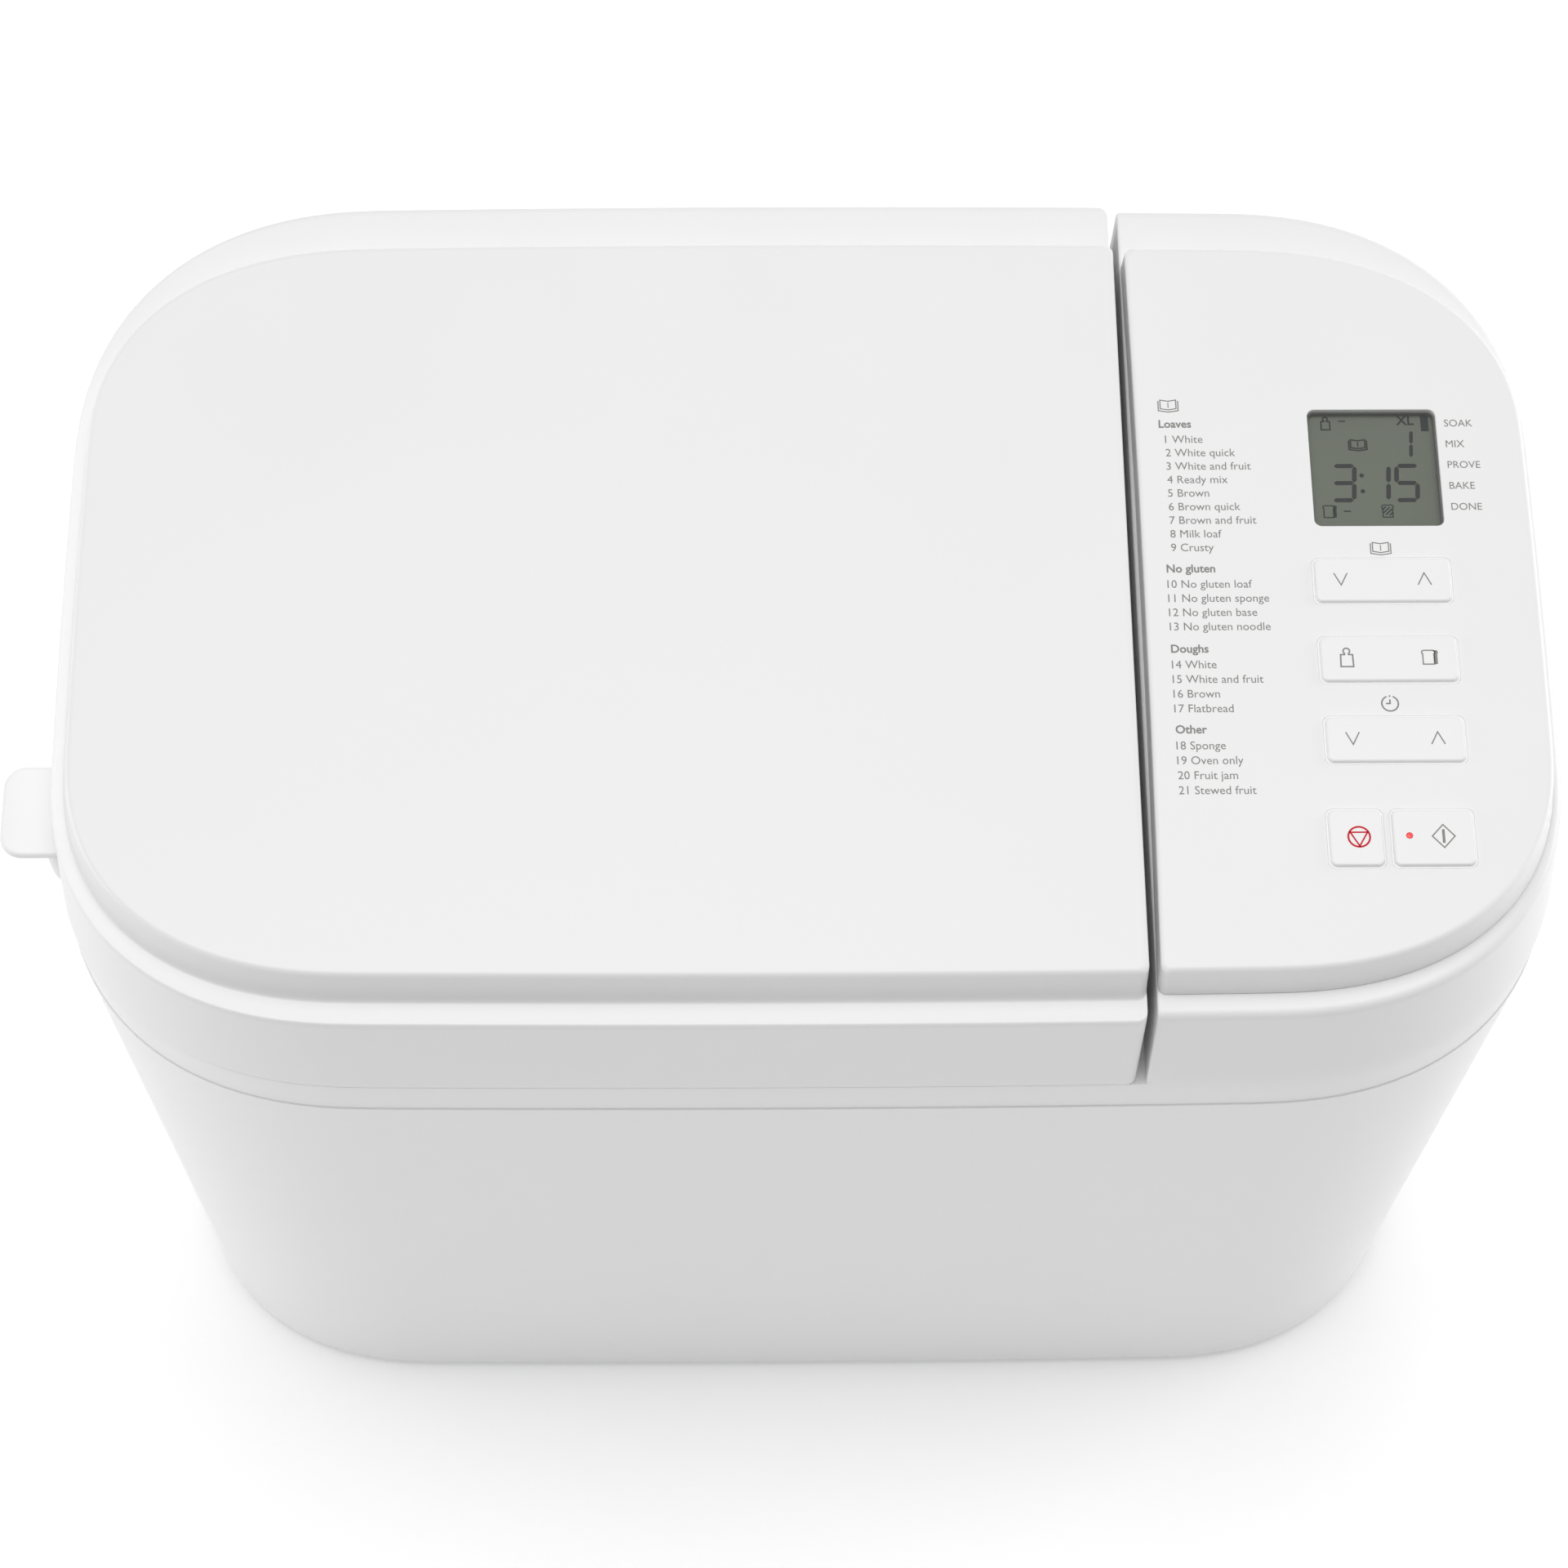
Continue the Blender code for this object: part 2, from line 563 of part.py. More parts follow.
def control_panel():
    """The raised cover of the control housing, with openings for the display and the keys."""
    left = CONTROL_LEFT
    rings = [
        body_ring(PLATEAU_Z, offset_all(PANEL_TOP, -EDGE), left=left + 1.3 * EDGE),
        body_ring(PLATEAU_Z - 0.3 * EDGE, PANEL_TOP, left=left + 0.3 * EDGE),
        body_ring(PLATEAU_Z - 1.3 * EDGE, offset_all(PANEL_TOP, 0.4), left=left),
        body_ring(LEDGE_Z + GAP, PANEL_STEP, left=left),
        body_ring(LEDGE_Z + GAP, offset_all(PANEL_STEP, -WALL), left=left + WALL),
        body_ring(PLATEAU_Z - WALL, offset_all(PANEL_TOP, -WALL), left=left + WALL),
    ]
    panel = loft("control_panel", rings)
    place(panel, WARM_WHITE)
    for name, size in {**ROCKER_KEYS, **PUSH_KEYS}.items():
        combine(panel, key_hole(name + "_hole", size, KEY_GAP))
    return combine(panel, key_hole("display_hole", DISPLAY, GAP))


def display():
    """The clear window and the liquid crystal module under it."""
    x, y, width, depth = DISPLAY
    top = PLATEAU_Z - WINDOW_SINK
    low = top - WINDOW_THICK
    rings = [box_ring(z, width, depth, KEY_RADIUS, (x, y)) for z in (low, top)]
    place(loft("display_window", rings), CLEAR)
    across, along = (x - width / 2 + 1, x + width / 2 - 1), (y - depth / 2 + 1, y + depth / 2 - 1)
    place(box("display_module", across, along, (BOARD_Z + 2, low - GAP)), GREY_PLASTIC)


def key_cap(name, size):
    """A key's rounded cap, standing a little proud of the panel."""
    x, y, width, depth = size
    top = PLATEAU_Z + KEY_PROUD
    rings = [
        box_ring(PLATEAU_Z - 5, width, depth, KEY_RADIUS, (x, y)),
        box_ring(top - 0.6, width, depth, KEY_RADIUS, (x, y)),
        box_ring(top, width - 1.2, depth - 1.2, KEY_RADIUS - 0.6, (x, y)),
    ]
    return loft(name, rings)


def stem(x, y):
    """A stem from a key's cap down to its switch."""
    return rod("key_stem", (x, y, SWITCH_TOP_Z + 1.1), (x, y, PLATEAU_Z - 4.5), 1.6, 10)


def keys():
    """Three rocker keys, two push keys and the start key's lamp lens."""
    for name, size in ROCKER_KEYS.items():
        x, y, width, _ = size
        cap = place(key_cap(name, size), WARM_WHITE, (x, y, PLATEAU_Z - 4))
        for side in (-1, 1):
            combine(cap, stem(x + side * width / 3, y), "UNION")
    for name, size in PUSH_KEYS.items():
        x, y = size[:2]
        cap = place(key_cap(name, size), WARM_WHITE, (x, y, PLATEAU_Z - 4))
        combine(cap, stem(x, y), "UNION")
    top = PLATEAU_Z + KEY_PROUD
    low = top - LAMP_DEPTH
    well = rod("lens_well", (*LAMP_SPOT, low - GAP), (*LAMP_SPOT, top + 2), LAMP_RADIUS + GAP, 16)
    combine(bpy.data.objects["start_key"], well)
    lens = rod("start_lamp_lens", (*LAMP_SPOT, low), (*LAMP_SPOT, top), LAMP_RADIUS, 16)
    place(lens, RED_LENS, (*PUSH_KEYS["start_key"][:2], PLATEAU_Z - 4))


def control_board():
    """The board under the panel, with a switch below each key stem."""
    thick = (BOARD_Z, BOARD_Z + BOARD_THICK)
    board = box("control_board", CONTROL_BOARD_X, CONTROL_BOARD_Y, thick)
    place(board, BOARD_GREEN)
    spots = [(x + s * w / 3, y) for x, y, w, _ in ROCKER_KEYS.values() for s in (-1, 1)]
    spots += [size[:2] for size in PUSH_KEYS.values()]
    half = SWITCH_HALF
    for x, y in spots:
        sides = (x - half, x + half), (y - half, y + half)
        combine(board, box("switch", *sides, (BOARD_Z + 1, SWITCH_TOP_Z)), "UNION")
    return board


def power_board():
    """The upright mains board beside the heat shield, with its relay, choke and capacitor."""
    face, half = POWER_BOARD_X, POWER_BOARD_HALF
    board = box("power_board", (face, face + BOARD_THICK), (-half, half), POWER_BOARD_Z)
    place(board, BOARD_GREEN)
    wide, tall = POWER_BLOCK_HALF
    for name, y, z, deep in POWER_BLOCKS:
        block = box(name, (face + 1, face + deep), (y - wide, y + wide), (z - tall, z + tall))
        combine(board, block, "UNION")
    y, z, radius, reach = CAPACITOR
    combine(board, rod("capacitor", (face + 1, y, z), (face + reach, y, z), radius), "UNION")
    for y in STANDOFF_Y:
        for z in STANDOFF_Z:
            start, end = (HEAT_SHIELD_X + SHEET + GAP, y, z), (face + 0.5, y, z)
            combine(board, rod("standoff", start, end, STANDOFF_RADIUS, 10), "UNION")
    return board


def heat_shield():
    """The folded sheet that keeps the chamber's heat from the electronics."""
    x, low = HEAT_SHIELD_X, CHASSIS_Z + CHASSIS_THICK + GAP
    deep = (-SHIELD_HALF, SHIELD_HALF)
    sheet = box("heat_shield", (x, x + SHEET), deep, (low, SHIELD_TOP_Z))
    place(sheet, SHEET_STEEL)
    foot = box("shield_foot", (x, x + SHIELD_FOOT), deep, (low, low + SHEET))
    combine(sheet, foot, "UNION")
    for z in (68, 76):
        combine(sheet, box("shield_slot", (x - 5, x + 5), (-20, 20), (z, z + 4)))
    return sheet


def chamber_liner():
    """The oven chamber: a deep sheet-metal tub with a flange on the deck."""
    outer_w, outer_d = CHAMBER_WIDTH + 2 * SHEET, CHAMBER_DEPTH + 2 * SHEET
    top = DECK_Z + GAP + SHEET
    spread = 2 * CHAMBER_FLANGE
    rings = [
        box_ring(FLOOR_Z, outer_w - 8, outer_d - 8, CHAMBER_RADIUS - 4),
        box_ring(FLOOR_Z + 4, outer_w, outer_d, CHAMBER_RADIUS),
        box_ring(top - SHEET, outer_w, outer_d, CHAMBER_RADIUS),
        box_ring(top - SHEET, outer_w + spread, outer_d + spread, CHAMBER_RADIUS + CHAMBER_FLANGE),
        box_ring(top, outer_w + spread, outer_d + spread, CHAMBER_RADIUS + CHAMBER_FLANGE),
        box_ring(top, CHAMBER_WIDTH, CHAMBER_DEPTH, CHAMBER_RADIUS - SHEET),
        box_ring(FLOOR_Z + 4 + SHEET / 2, CHAMBER_WIDTH, CHAMBER_DEPTH, CHAMBER_RADIUS - SHEET),
        box_ring(FLOOR_Z + SHEET, CHAMBER_WIDTH - 7, CHAMBER_DEPTH - 7, CHAMBER_RADIUS - 5),
    ]
    liner = loft("chamber_liner", rings)
    place(liner, SHEET_STEEL)
    hole = rod("shaft_hole", (AXIS_X, 0, FLOOR_Z - 5), (AXIS_X, 0, FLOOR_Z + 5), 11, 24)
    combine(liner, hole)
    wall = AXIS_X + CHAMBER_WIDTH / 2
    tails = [(side * ELEMENT_TAIL, ELEMENT_Z, ELEMENT_RADIUS + 0.9) for side in (-1, 1)]
    for y, z, radius in (*tails, (SENSOR_Y, SENSOR_Z, 3.3)):
        start, end = (wall - 5, y, z), (wall + 8, y, z)
        combine(liner, rod("wall_hole", start, end, radius, 16))
    return liner


def rounded_route(corners, radius, steps=5):
    """Points along straight runs through the corners, with each inside corner rounded."""
    route = [Vector(corners[0])]
    for before, corner, after in zip(corners, corners[1:], corners[2:]):
        spot = Vector(corner)
        start = spot + (Vector(before) - spot).normalized() * radius
        end = spot + (Vector(after) - spot).normalized() * radius
        for step in range(steps + 1):
            t = step / steps
            route.append(start * (1 - t) ** 2 + spot * 2 * t * (1 - t) + end * t * t)
    route.append(Vector(corners[-1]))
    return [tuple(point) for point in route]


def heating_element():
    """The tubular heater round the foot of the pan, its tails out through the right wall."""
    x_high = AXIS_X + CHAMBER_WIDTH / 2 - ELEMENT_INSET - 6
    x_low = AXIS_X - CHAMBER_WIDTH / 2 + ELEMENT_INSET
    y_high = CHAMBER_DEPTH / 2 - ELEMENT_INSET
    tail = AXIS_X + CHAMBER_WIDTH / 2 + 6
    half = [(tail, -ELEMENT_TAIL), (x_high, -ELEMENT_TAIL), (x_high, -y_high), (x_low, -y_high)]
    corners = [*half, *[(x, -y) for x, y in reversed(half)]]
    route = rounded_route([(*corner, ELEMENT_Z) for corner in corners], 8.0)
    return place(wire("heating_element", route, ELEMENT_RADIUS), STEEL)


def element_clips():
    """The three posts that hold the heater off the chamber's floor."""
    low, high = FLOOR_Z + SHEET + GAP, ELEMENT_Z - ELEMENT_RADIUS - GAP
    y = CHAMBER_DEPTH / 2 - ELEMENT_INSET
    x = AXIS_X - CHAMBER_WIDTH / 2 + ELEMENT_INSET
    spots = ((AXIS_X, -y), (AXIS_X, y), (x, 0))
    for number, (cx, cy) in enumerate(spots, 1):
        post = box(f"element_clip_{number}", (cx - 4, cx + 4), (cy - 4, cy + 4), (low, high))
        place(post, STEEL)


def temperature_sensor():
    """The probe through the chamber's right wall."""
    wall = AXIS_X + CHAMBER_WIDTH / 2
    start, end = (wall - 6, SENSOR_Y, SENSOR_Z), (wall + 6, SENSOR_Y, SENSOR_Z)
    probe = rod("temperature_sensor", start, end, SENSOR_RADIUS)
    place(probe, STEEL)
    head = rod("sensor_head", (wall + 2, SENSOR_Y, SENSOR_Z), end, SENSOR_HEAD)
    return combine(probe, head, "UNION")


def chassis():
    """The pressed tray on four legs that carries the motor and the chamber."""
    half, top = CHASSIS_HALF_DEPTH, CHASSIS_Z + CHASSIS_THICK
    frame = box("chassis", CHASSIS_X, (-half, half), (CHASSIS_Z, top))
    place(frame, SHEET_STEEL)
    foot, half = BASE_Z + PLATE_THICK + GAP, LEG_HALF
    for x in LEG_X:
        for y in LEG_Y:
            sides = (x - half, x + half), (y - half, y + half)
            combine(frame, box("chassis_leg", *sides, (foot, CHASSIS_Z + 1)), "UNION")
    for x in SPACER_X:
        for y in SPACER_Y:
            ends = (x, y, CHASSIS_Z + 1), (x, y, FLOOR_Z - GAP)
            combine(frame, rod("spacer", *ends, SPACER_RADIUS, 12), "UNION")
    for x in (AXIS_X, MOTOR_X):
        ends = (x, 0, CHASSIS_Z - 5), (x, 0, CHASSIS_Z + 5)
        combine(frame, rod("chassis_hole", *ends, BUSH_HOLE_RADIUS, 24))
    return frame


def base_plate():
    """The bottom cover, held up inside the lower casing."""
    outline = FOOT_OUT - WALL - 2 * GAP
    rings = [body_ring(z, outline) for z in (BASE_Z, BASE_Z + PLATE_THICK)]
    plate = loft("base_plate", rings)
    place(plate, GREY_PLASTIC)
    for x, y in SCREWS:
        combine(plate, rod("screw_hole", (x, y, 0), (x, y, 20), 1.9, 12))
    for number in range(-3, 4):
        x = SLOT_X + number * SLOT_PITCH
        combine(plate, box("base_slot", (x, x + SLOT_WIDTH), (-SLOT_HALF, SLOT_HALF), (0, 20)))
    return plate


def feet_and_screws():
    """Four rubber feet and the four screws that hold the base plate."""
    names = ("front_left", "rear_left", "front_right", "rear_right")
    top = BASE_Z - GAP
    for name, (x, y) in zip(names, FEET):
        profile = [(0, top), (10, top), (10, 2), (8.5, 0), (0, 0)]
        turned("foot_" + name, profile, (x, y), BLACK_RUBBER)
    head = BASE_Z - GAP
    for name, (x, y) in zip(names, SCREWS):
        tip = BASE_Z + PLATE_THICK
        profile = [(0, tip), (1.5, tip), (1.5, head), (3.2, head), (3.2, head - 1.4), (0, head - 2)]
        turned("base_screw_" + name, profile, (x, y), STEEL, steps=12)


def cord_inlet():
    """The bush in the back wall where a mains cord would enter."""
    profile = [(4, 17), (9, 17), (9, 3), (12, 3), (12, 0), (4, 0)]
    bush = turned("cord_inlet", profile, (0, 0), GREY_PLASTIC, steps=20, ring=True)
    bush.rotation_euler = (math.radians(90), 0, 0)
    bush.location = [value * MM for value in CORD_INLET]
    return bush


def bread_pan():
    """The rectangular pan: drafted walls, a small lip, and a hole for its shaft."""
    width, depth = PAN_WIDTH, PAN_DEPTH
    inner_w, inner_d = width - 2 * PAN_WALL, depth - 2 * PAN_WALL
    low_w, low_d = width - 2 * PAN_DRAFT, depth - 2 * PAN_DRAFT
    rings = [
        box_ring(PAN_BASE_Z, low_w - 8, low_d - 8, PAN_RADIUS - 8),
        box_ring(PAN_BASE_Z + 4, low_w, low_d, PAN_RADIUS - 4),
        box_ring(PAN_TOP_Z - 1.5, width, depth, PAN_RADIUS),
        box_ring(PAN_TOP_Z - 1.5, width + 2 * PAN_LIP, depth + 2 * PAN_LIP, PAN_RADIUS + PAN_LIP),
        box_ring(PAN_TOP_Z, width + 2 * PAN_LIP, depth + 2 * PAN_LIP, PAN_RADIUS + PAN_LIP),
        box_ring(PAN_TOP_Z, inner_w, inner_d, PAN_RADIUS - PAN_WALL),
        box_ring(PAN_BASE_Z + 5, low_w - 2 * PAN_WALL, low_d - 2 * PAN_WALL, PAN_RADIUS - 4 - PAN_WALL),
        box_ring(PAN_BASE_Z + PAN_WALL, low_w - 10, low_d - 10, PAN_RADIUS - 9),
    ]
    pan = loft("bread_pan", rings)
    place(pan, NON_STICK, (AXIS_X, 0, PAN_BASE_Z))
    start, end = (AXIS_X, 0, PAN_BASE_Z - 5), (AXIS_X, 0, PAN_BASE_Z + 5)
    return combine(pan, rod("pan_hole", start, end, 8.3, 24))


def pan_fittings():
    """What is fixed to the pan: its foot ring, its shaft bush and the two handle pivots."""
    top = PAN_BASE_Z - GAP
    low = FLOOR_Z + SHEET + 3
    r = FOOT_RING_RADIUS
    profile = [(r, top), (r, low + 4), (r + 2, low + 4), (r + 2, low), (r - 3, low), (r - 3, top)]
    turned("pan_foot_ring", profile, (AXIS_X, 0), STEEL, steps=32, ring=True)
    high, shelf, base = PAN_BASE_Z + 9, PAN_BASE_Z + PAN_WALL + GAP, PAN_BASE_Z - 5
    bore = SHAFT_RADIUS + PIN_CLEARANCE
    profile = [
        (bore, high), (8, high), (11, shelf + 2), (11, shelf), (8, shelf), (8, base), (bore, base),
    ]
    turned("pan_bush", profile, (AXIS_X, 0), STEEL, steps=24, ring=True)
    wall = PAN_WIDTH / 2 + GAP
    outer = HANDLE_HALF + HANDLE_RADIUS + 2
    for name, side in (("handle_pivot_left", -1), ("handle_pivot_right", 1)):
        start = (AXIS_X + side * wall, 0, HANDLE_Z)
        end = (AXIS_X + side * outer, 0, HANDLE_Z)
        pin = place(rod(name, start, end, 1.8, 16), STEEL, (AXIS_X, 0, PAN_BASE_Z))
        head = (AXIS_X + side * (outer - 1.2), 0, HANDLE_Z)
        combine(pin, rod("pivot_head", head, end, 3.4, 16), "UNION")


def pan_handle():
    """The bail handle, folded down behind the pan's rim, with an eye at each end."""
    left, right = AXIS_X - HANDLE_HALF, AXIS_X + HANDLE_HALF
    corners = [
        (left, 4.2, HANDLE_Z),
        (left, HANDLE_ARM, HANDLE_Z),
        (right, HANDLE_ARM, HANDLE_Z),
        (right, 4.2, HANDLE_Z),
    ]
    route = rounded_route(corners, 14.0)
    bail = place(wire("pan_handle", route, HANDLE_RADIUS), STEEL, (AXIS_X, 0, HANDLE_Z))
    for x in (left, right):
        start, end = (x - 1.8, 0, HANDLE_Z), (x + 1.8, 0, HANDLE_Z)
        combine(bail, rod("handle_eye", start, end, 5, 20), "UNION")
        start, end = (x - 5, 0, HANDLE_Z), (x + 5, 0, HANDLE_Z)
        combine(bail, rod("eye_bore", start, end, 2.1, 20))
    return bail


def pan_seat():
    """The socket ring on the chamber's floor that the pan's foot ring drops into."""
    low = FLOOR_Z + SHEET + GAP
    r, shelf = SEAT_RADIUS, low + 2
    profile = [(r, low + 10), (r + 2, low + 10), (r + 2, shelf), (r + 8, shelf), (r + 8, low), (r, low)]
    return turned("pan_seat", profile, (AXIS_X, 0), STEEL, steps=32, ring=True)


def coupling(name, low, high, lug_low, lug_high, angle, pivot_z):
    """A coupling disc with two lugs across its face, on the drive axis."""
    disc = rod(name, (AXIS_X, 0, low), (AXIS_X, 0, high), COUPLING_RADIUS, 24)
    place(disc, STEEL, (AXIS_X, 0, pivot_z))
    for turn in (angle, angle + 180):
        x = AXIS_X + math.cos(math.radians(turn)) * LUG_REACH
        y = math.sin(math.radians(turn)) * LUG_REACH
        lug = rod("lug", (x, y, lug_low), (x, y, lug_high), LUG_RADIUS, 12)
        combine(disc, lug, "UNION")
    bore = rod("disc_bore", (AXIS_X, 0, low - 9), (AXIS_X, 0, high + 9), SHAFT_RADIUS + GAP, 20)
    return combine(disc, bore)


def drive_train():
    """Shafts, pulleys, belt and couplings from the motor to the pan's shaft."""
    floor, base = FLOOR_Z + SHEET, PAN_BASE_Z - 5.5
    for name, low, high, pivot_z in (
        ("drive_shaft", PULLEY_Z - 6, floor + 5, floor),
        ("pan_shaft", base - 5, PAN_BASE_Z + 32, PAN_BASE_Z),
    ):
        shaft = rod(name, (AXIS_X, 0, low), (AXIS_X, 0, high), SHAFT_RADIUS, 20)
        place(shaft, STEEL, (AXIS_X, 0, pivot_z))
    coupling("drive_coupling", floor + 1.5, floor + 4.5, floor + 4, floor + 9, 0, floor)
    coupling("pan_coupling", base - 4, base, base - 9, base - 3.5, 90, PAN_BASE_Z)
    bore = SHAFT_RADIUS + PIN_CLEARANCE
    low, high = CHASSIS_Z - 6, FLOOR_Z + SHEET + 1
    shelf = CHASSIS_Z + CHASSIS_THICK + GAP
    profile = [
        (bore, high), (8, high), (8, CHASSIS_Z + 4), (12, CHASSIS_Z + 4), (12, shelf), (8, shelf),
        (8, low), (bore, low),
    ]
    turned("drive_bush", profile, (AXIS_X, 0), STEEL, ring=True)
    pulley("large_pulley", AXIS_X, LARGE_PULLEY_RADIUS, SHAFT_RADIUS + GAP, 40)
    pulley("motor_pulley", MOTOR_X, MOTOR_PULLEY_RADIUS, MOTOR_SHAFT_RADIUS + GAP, 24)
    drive_belt()


def pulley(name, x, radius, bore, steps):
    """A flanged belt pulley."""
    low, high, lip = PULLEY_Z, PULLEY_Z + PULLEY_HEIGHT, radius + PULLEY_LIP
    profile = [
        (bore, high), (lip, high), (lip, high - 1), (radius, high - 1.2),
        (radius, low + 1.2), (lip, low + 1), (lip, low), (bore, low),
    ]
    return turned(name, profile, (x, 0), GREY_PLASTIC, steps=steps, ring=True)


def belt_ring(z, extra):
    """The belt's path round both pulleys at a level, moved out by extra."""
    big, small = LARGE_PULLEY_RADIUS + extra, MOTOR_PULLEY_RADIUS + extra
    lean = math.acos((big - small) / (MOTOR_X - AXIS_X))
    points = []
    for x, radius, start, end, count in (
        (MOTOR_X, small, -lean, lean, 12),
        (AXIS_X, big, lean, 2 * math.pi - lean, 28),
    ):
        for step in range(count + 1):
            angle = start + (end - start) * step / count
            points.append((x + radius * math.cos(angle), radius * math.sin(angle), z))
    return points


def drive_belt():
    """The rubber belt, a hair clear of both pulleys."""
    low, high = PULLEY_Z + BELT_SIDE_GAP, PULLEY_Z + PULLEY_HEIGHT - BELT_SIDE_GAP
    inner, outer = GAP, GAP + BELT_THICK
    rings = [belt_ring(z, out) for z, out in ((low, outer), (high, outer), (high, inner), (low, inner))]
    return place(loft("drive_belt", rings, capped=False), BLACK_RUBBER)


def motor():
    """The mains motor on the chassis, and its shaft."""
    low = CHASSIS_Z + CHASSIS_THICK + GAP
    profile = [
        (0, low + 92), (9, low + 92), (9, low + 86), (30, low + 84), (33, low + 80), (33, low + 14),
        (30, low + 10), (30, low + 3), (36, low + 3), (36, low), (8, low), (8, low + 4), (0, low + 4),
    ]
    body = turned("motor", profile, (MOTOR_X, 0), STEEL, steps=28)
    start, end = (MOTOR_X, 0, PULLEY_Z - 3), (MOTOR_X, 0, low + 3.7)
    place(rod("motor_shaft", start, end, MOTOR_SHAFT_RADIUS), STEEL, (MOTOR_X, 0, PULLEY_Z))
    return body


def kneading_blade():
    """The paddle on the pan's shaft: a hub with one swept, leaning blade."""
    base, top = BLADE_BASE_Z, BLADE_BASE_Z + BLADE_HUB_HEIGHT
    hub = rod("kneading_blade", (AXIS_X, 0, base), (AXIS_X, 0, top), 11, 20, end_radius=7)
    place(hub, NON_STICK, (AXIS_X, 0, PAN_BASE_Z))
    low = [(AXIS_X + 5, -3), (AXIS_X + 52, -9), (AXIS_X + 52, -5), (AXIS_X + 5, 3)]
    high = [(AXIS_X + 4, -1), (AXIS_X + 42, -1), (AXIS_X + 42, 2), (AXIS_X + 4, 4)]
    rings = [[(*point, base + 1) for point in low], [(*point, base + 24) for point in high]]
    combine(hub, loft("blade_fin", rings), "UNION")
    ends = (AXIS_X, 0, base - 5), (AXIS_X, 0, base + 22.4)
    return combine(hub, rod("blade_bore", *ends, SHAFT_RADIUS + GAP, 20))


def main():
    """Build every piece."""
    clear_scene()
    make_collections()
    make_centre()
    lower_casing()
    upper_casing()
    hinge_pins()
    lid_shell()
    lid_liner()
    lid_seal()
    control_panel()
    display()
    keys()
    control_board()
    power_board()
    heat_shield()
    chamber_liner()
    heating_element()
    element_clips()
    temperature_sensor()
    chassis()
    base_plate()
    feet_and_screws()
    cord_inlet()
    bread_pan()
    pan_fittings()
    pan_handle()
    pan_seat()
    drive_train()
    motor()
    kneading_blade()


main()
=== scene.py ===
"""Looks for a horizontal bread machine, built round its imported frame.

Lengths inside the classes are millimetres in the casing's own frame: X to the right, Y to the back,
Z up, with the casing's middle at X = Y = 0. `Bench.finish_piece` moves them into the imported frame.
"""
from __future__ import annotations

import logging
import math
from collections.abc import Callable, Iterable, Sequence
from dataclasses import dataclass, field, replace
from enum import Enum

import bmesh
import bpy
from mathutils import Matrix, Vector


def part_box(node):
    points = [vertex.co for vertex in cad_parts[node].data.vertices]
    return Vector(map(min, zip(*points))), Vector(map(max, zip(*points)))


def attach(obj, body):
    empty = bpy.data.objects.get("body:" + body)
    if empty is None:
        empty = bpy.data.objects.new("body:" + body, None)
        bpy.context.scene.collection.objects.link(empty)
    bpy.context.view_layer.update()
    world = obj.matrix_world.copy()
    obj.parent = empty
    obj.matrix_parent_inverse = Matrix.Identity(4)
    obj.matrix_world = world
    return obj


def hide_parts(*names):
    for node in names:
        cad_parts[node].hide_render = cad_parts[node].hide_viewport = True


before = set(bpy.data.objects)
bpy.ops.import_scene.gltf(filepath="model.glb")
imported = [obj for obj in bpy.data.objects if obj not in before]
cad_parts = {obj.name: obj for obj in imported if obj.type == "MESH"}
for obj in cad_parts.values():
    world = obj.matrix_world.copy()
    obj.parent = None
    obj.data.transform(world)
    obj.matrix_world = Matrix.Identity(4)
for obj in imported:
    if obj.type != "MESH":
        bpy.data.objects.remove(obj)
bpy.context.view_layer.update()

LOG = logging.getLogger("bread_machine")
MM = 0.001

Point = tuple[float, float, float]
Spot = tuple[float, float]
Ring = list[Point]

WALL = 2.5  # thickness of the casing's mouldings
AXIS_X = -52.0  # where the drive shaft, pan and oven stand
BEYOND = (260.0, 220.0, 420.0)  # a cutter's reach past the machine: sideways, to front or back, and up
BORE_REACH = 20.0  # a pin cutter's reach to each side of a hinge
MERGED = 1e-6  # edges shorter than this, in metres, are dissolved before rounding


def placed(name: str, data: bpy.types.ID) -> bpy.types.Object:
    """Make an object of some data and link it to the scene."""
    item = bpy.data.objects.new(name, data)
    bpy.context.scene.collection.objects.link(item)
    return item


# ---------------------------------------------------------------------------------------------
# Finishes
# ---------------------------------------------------------------------------------------------


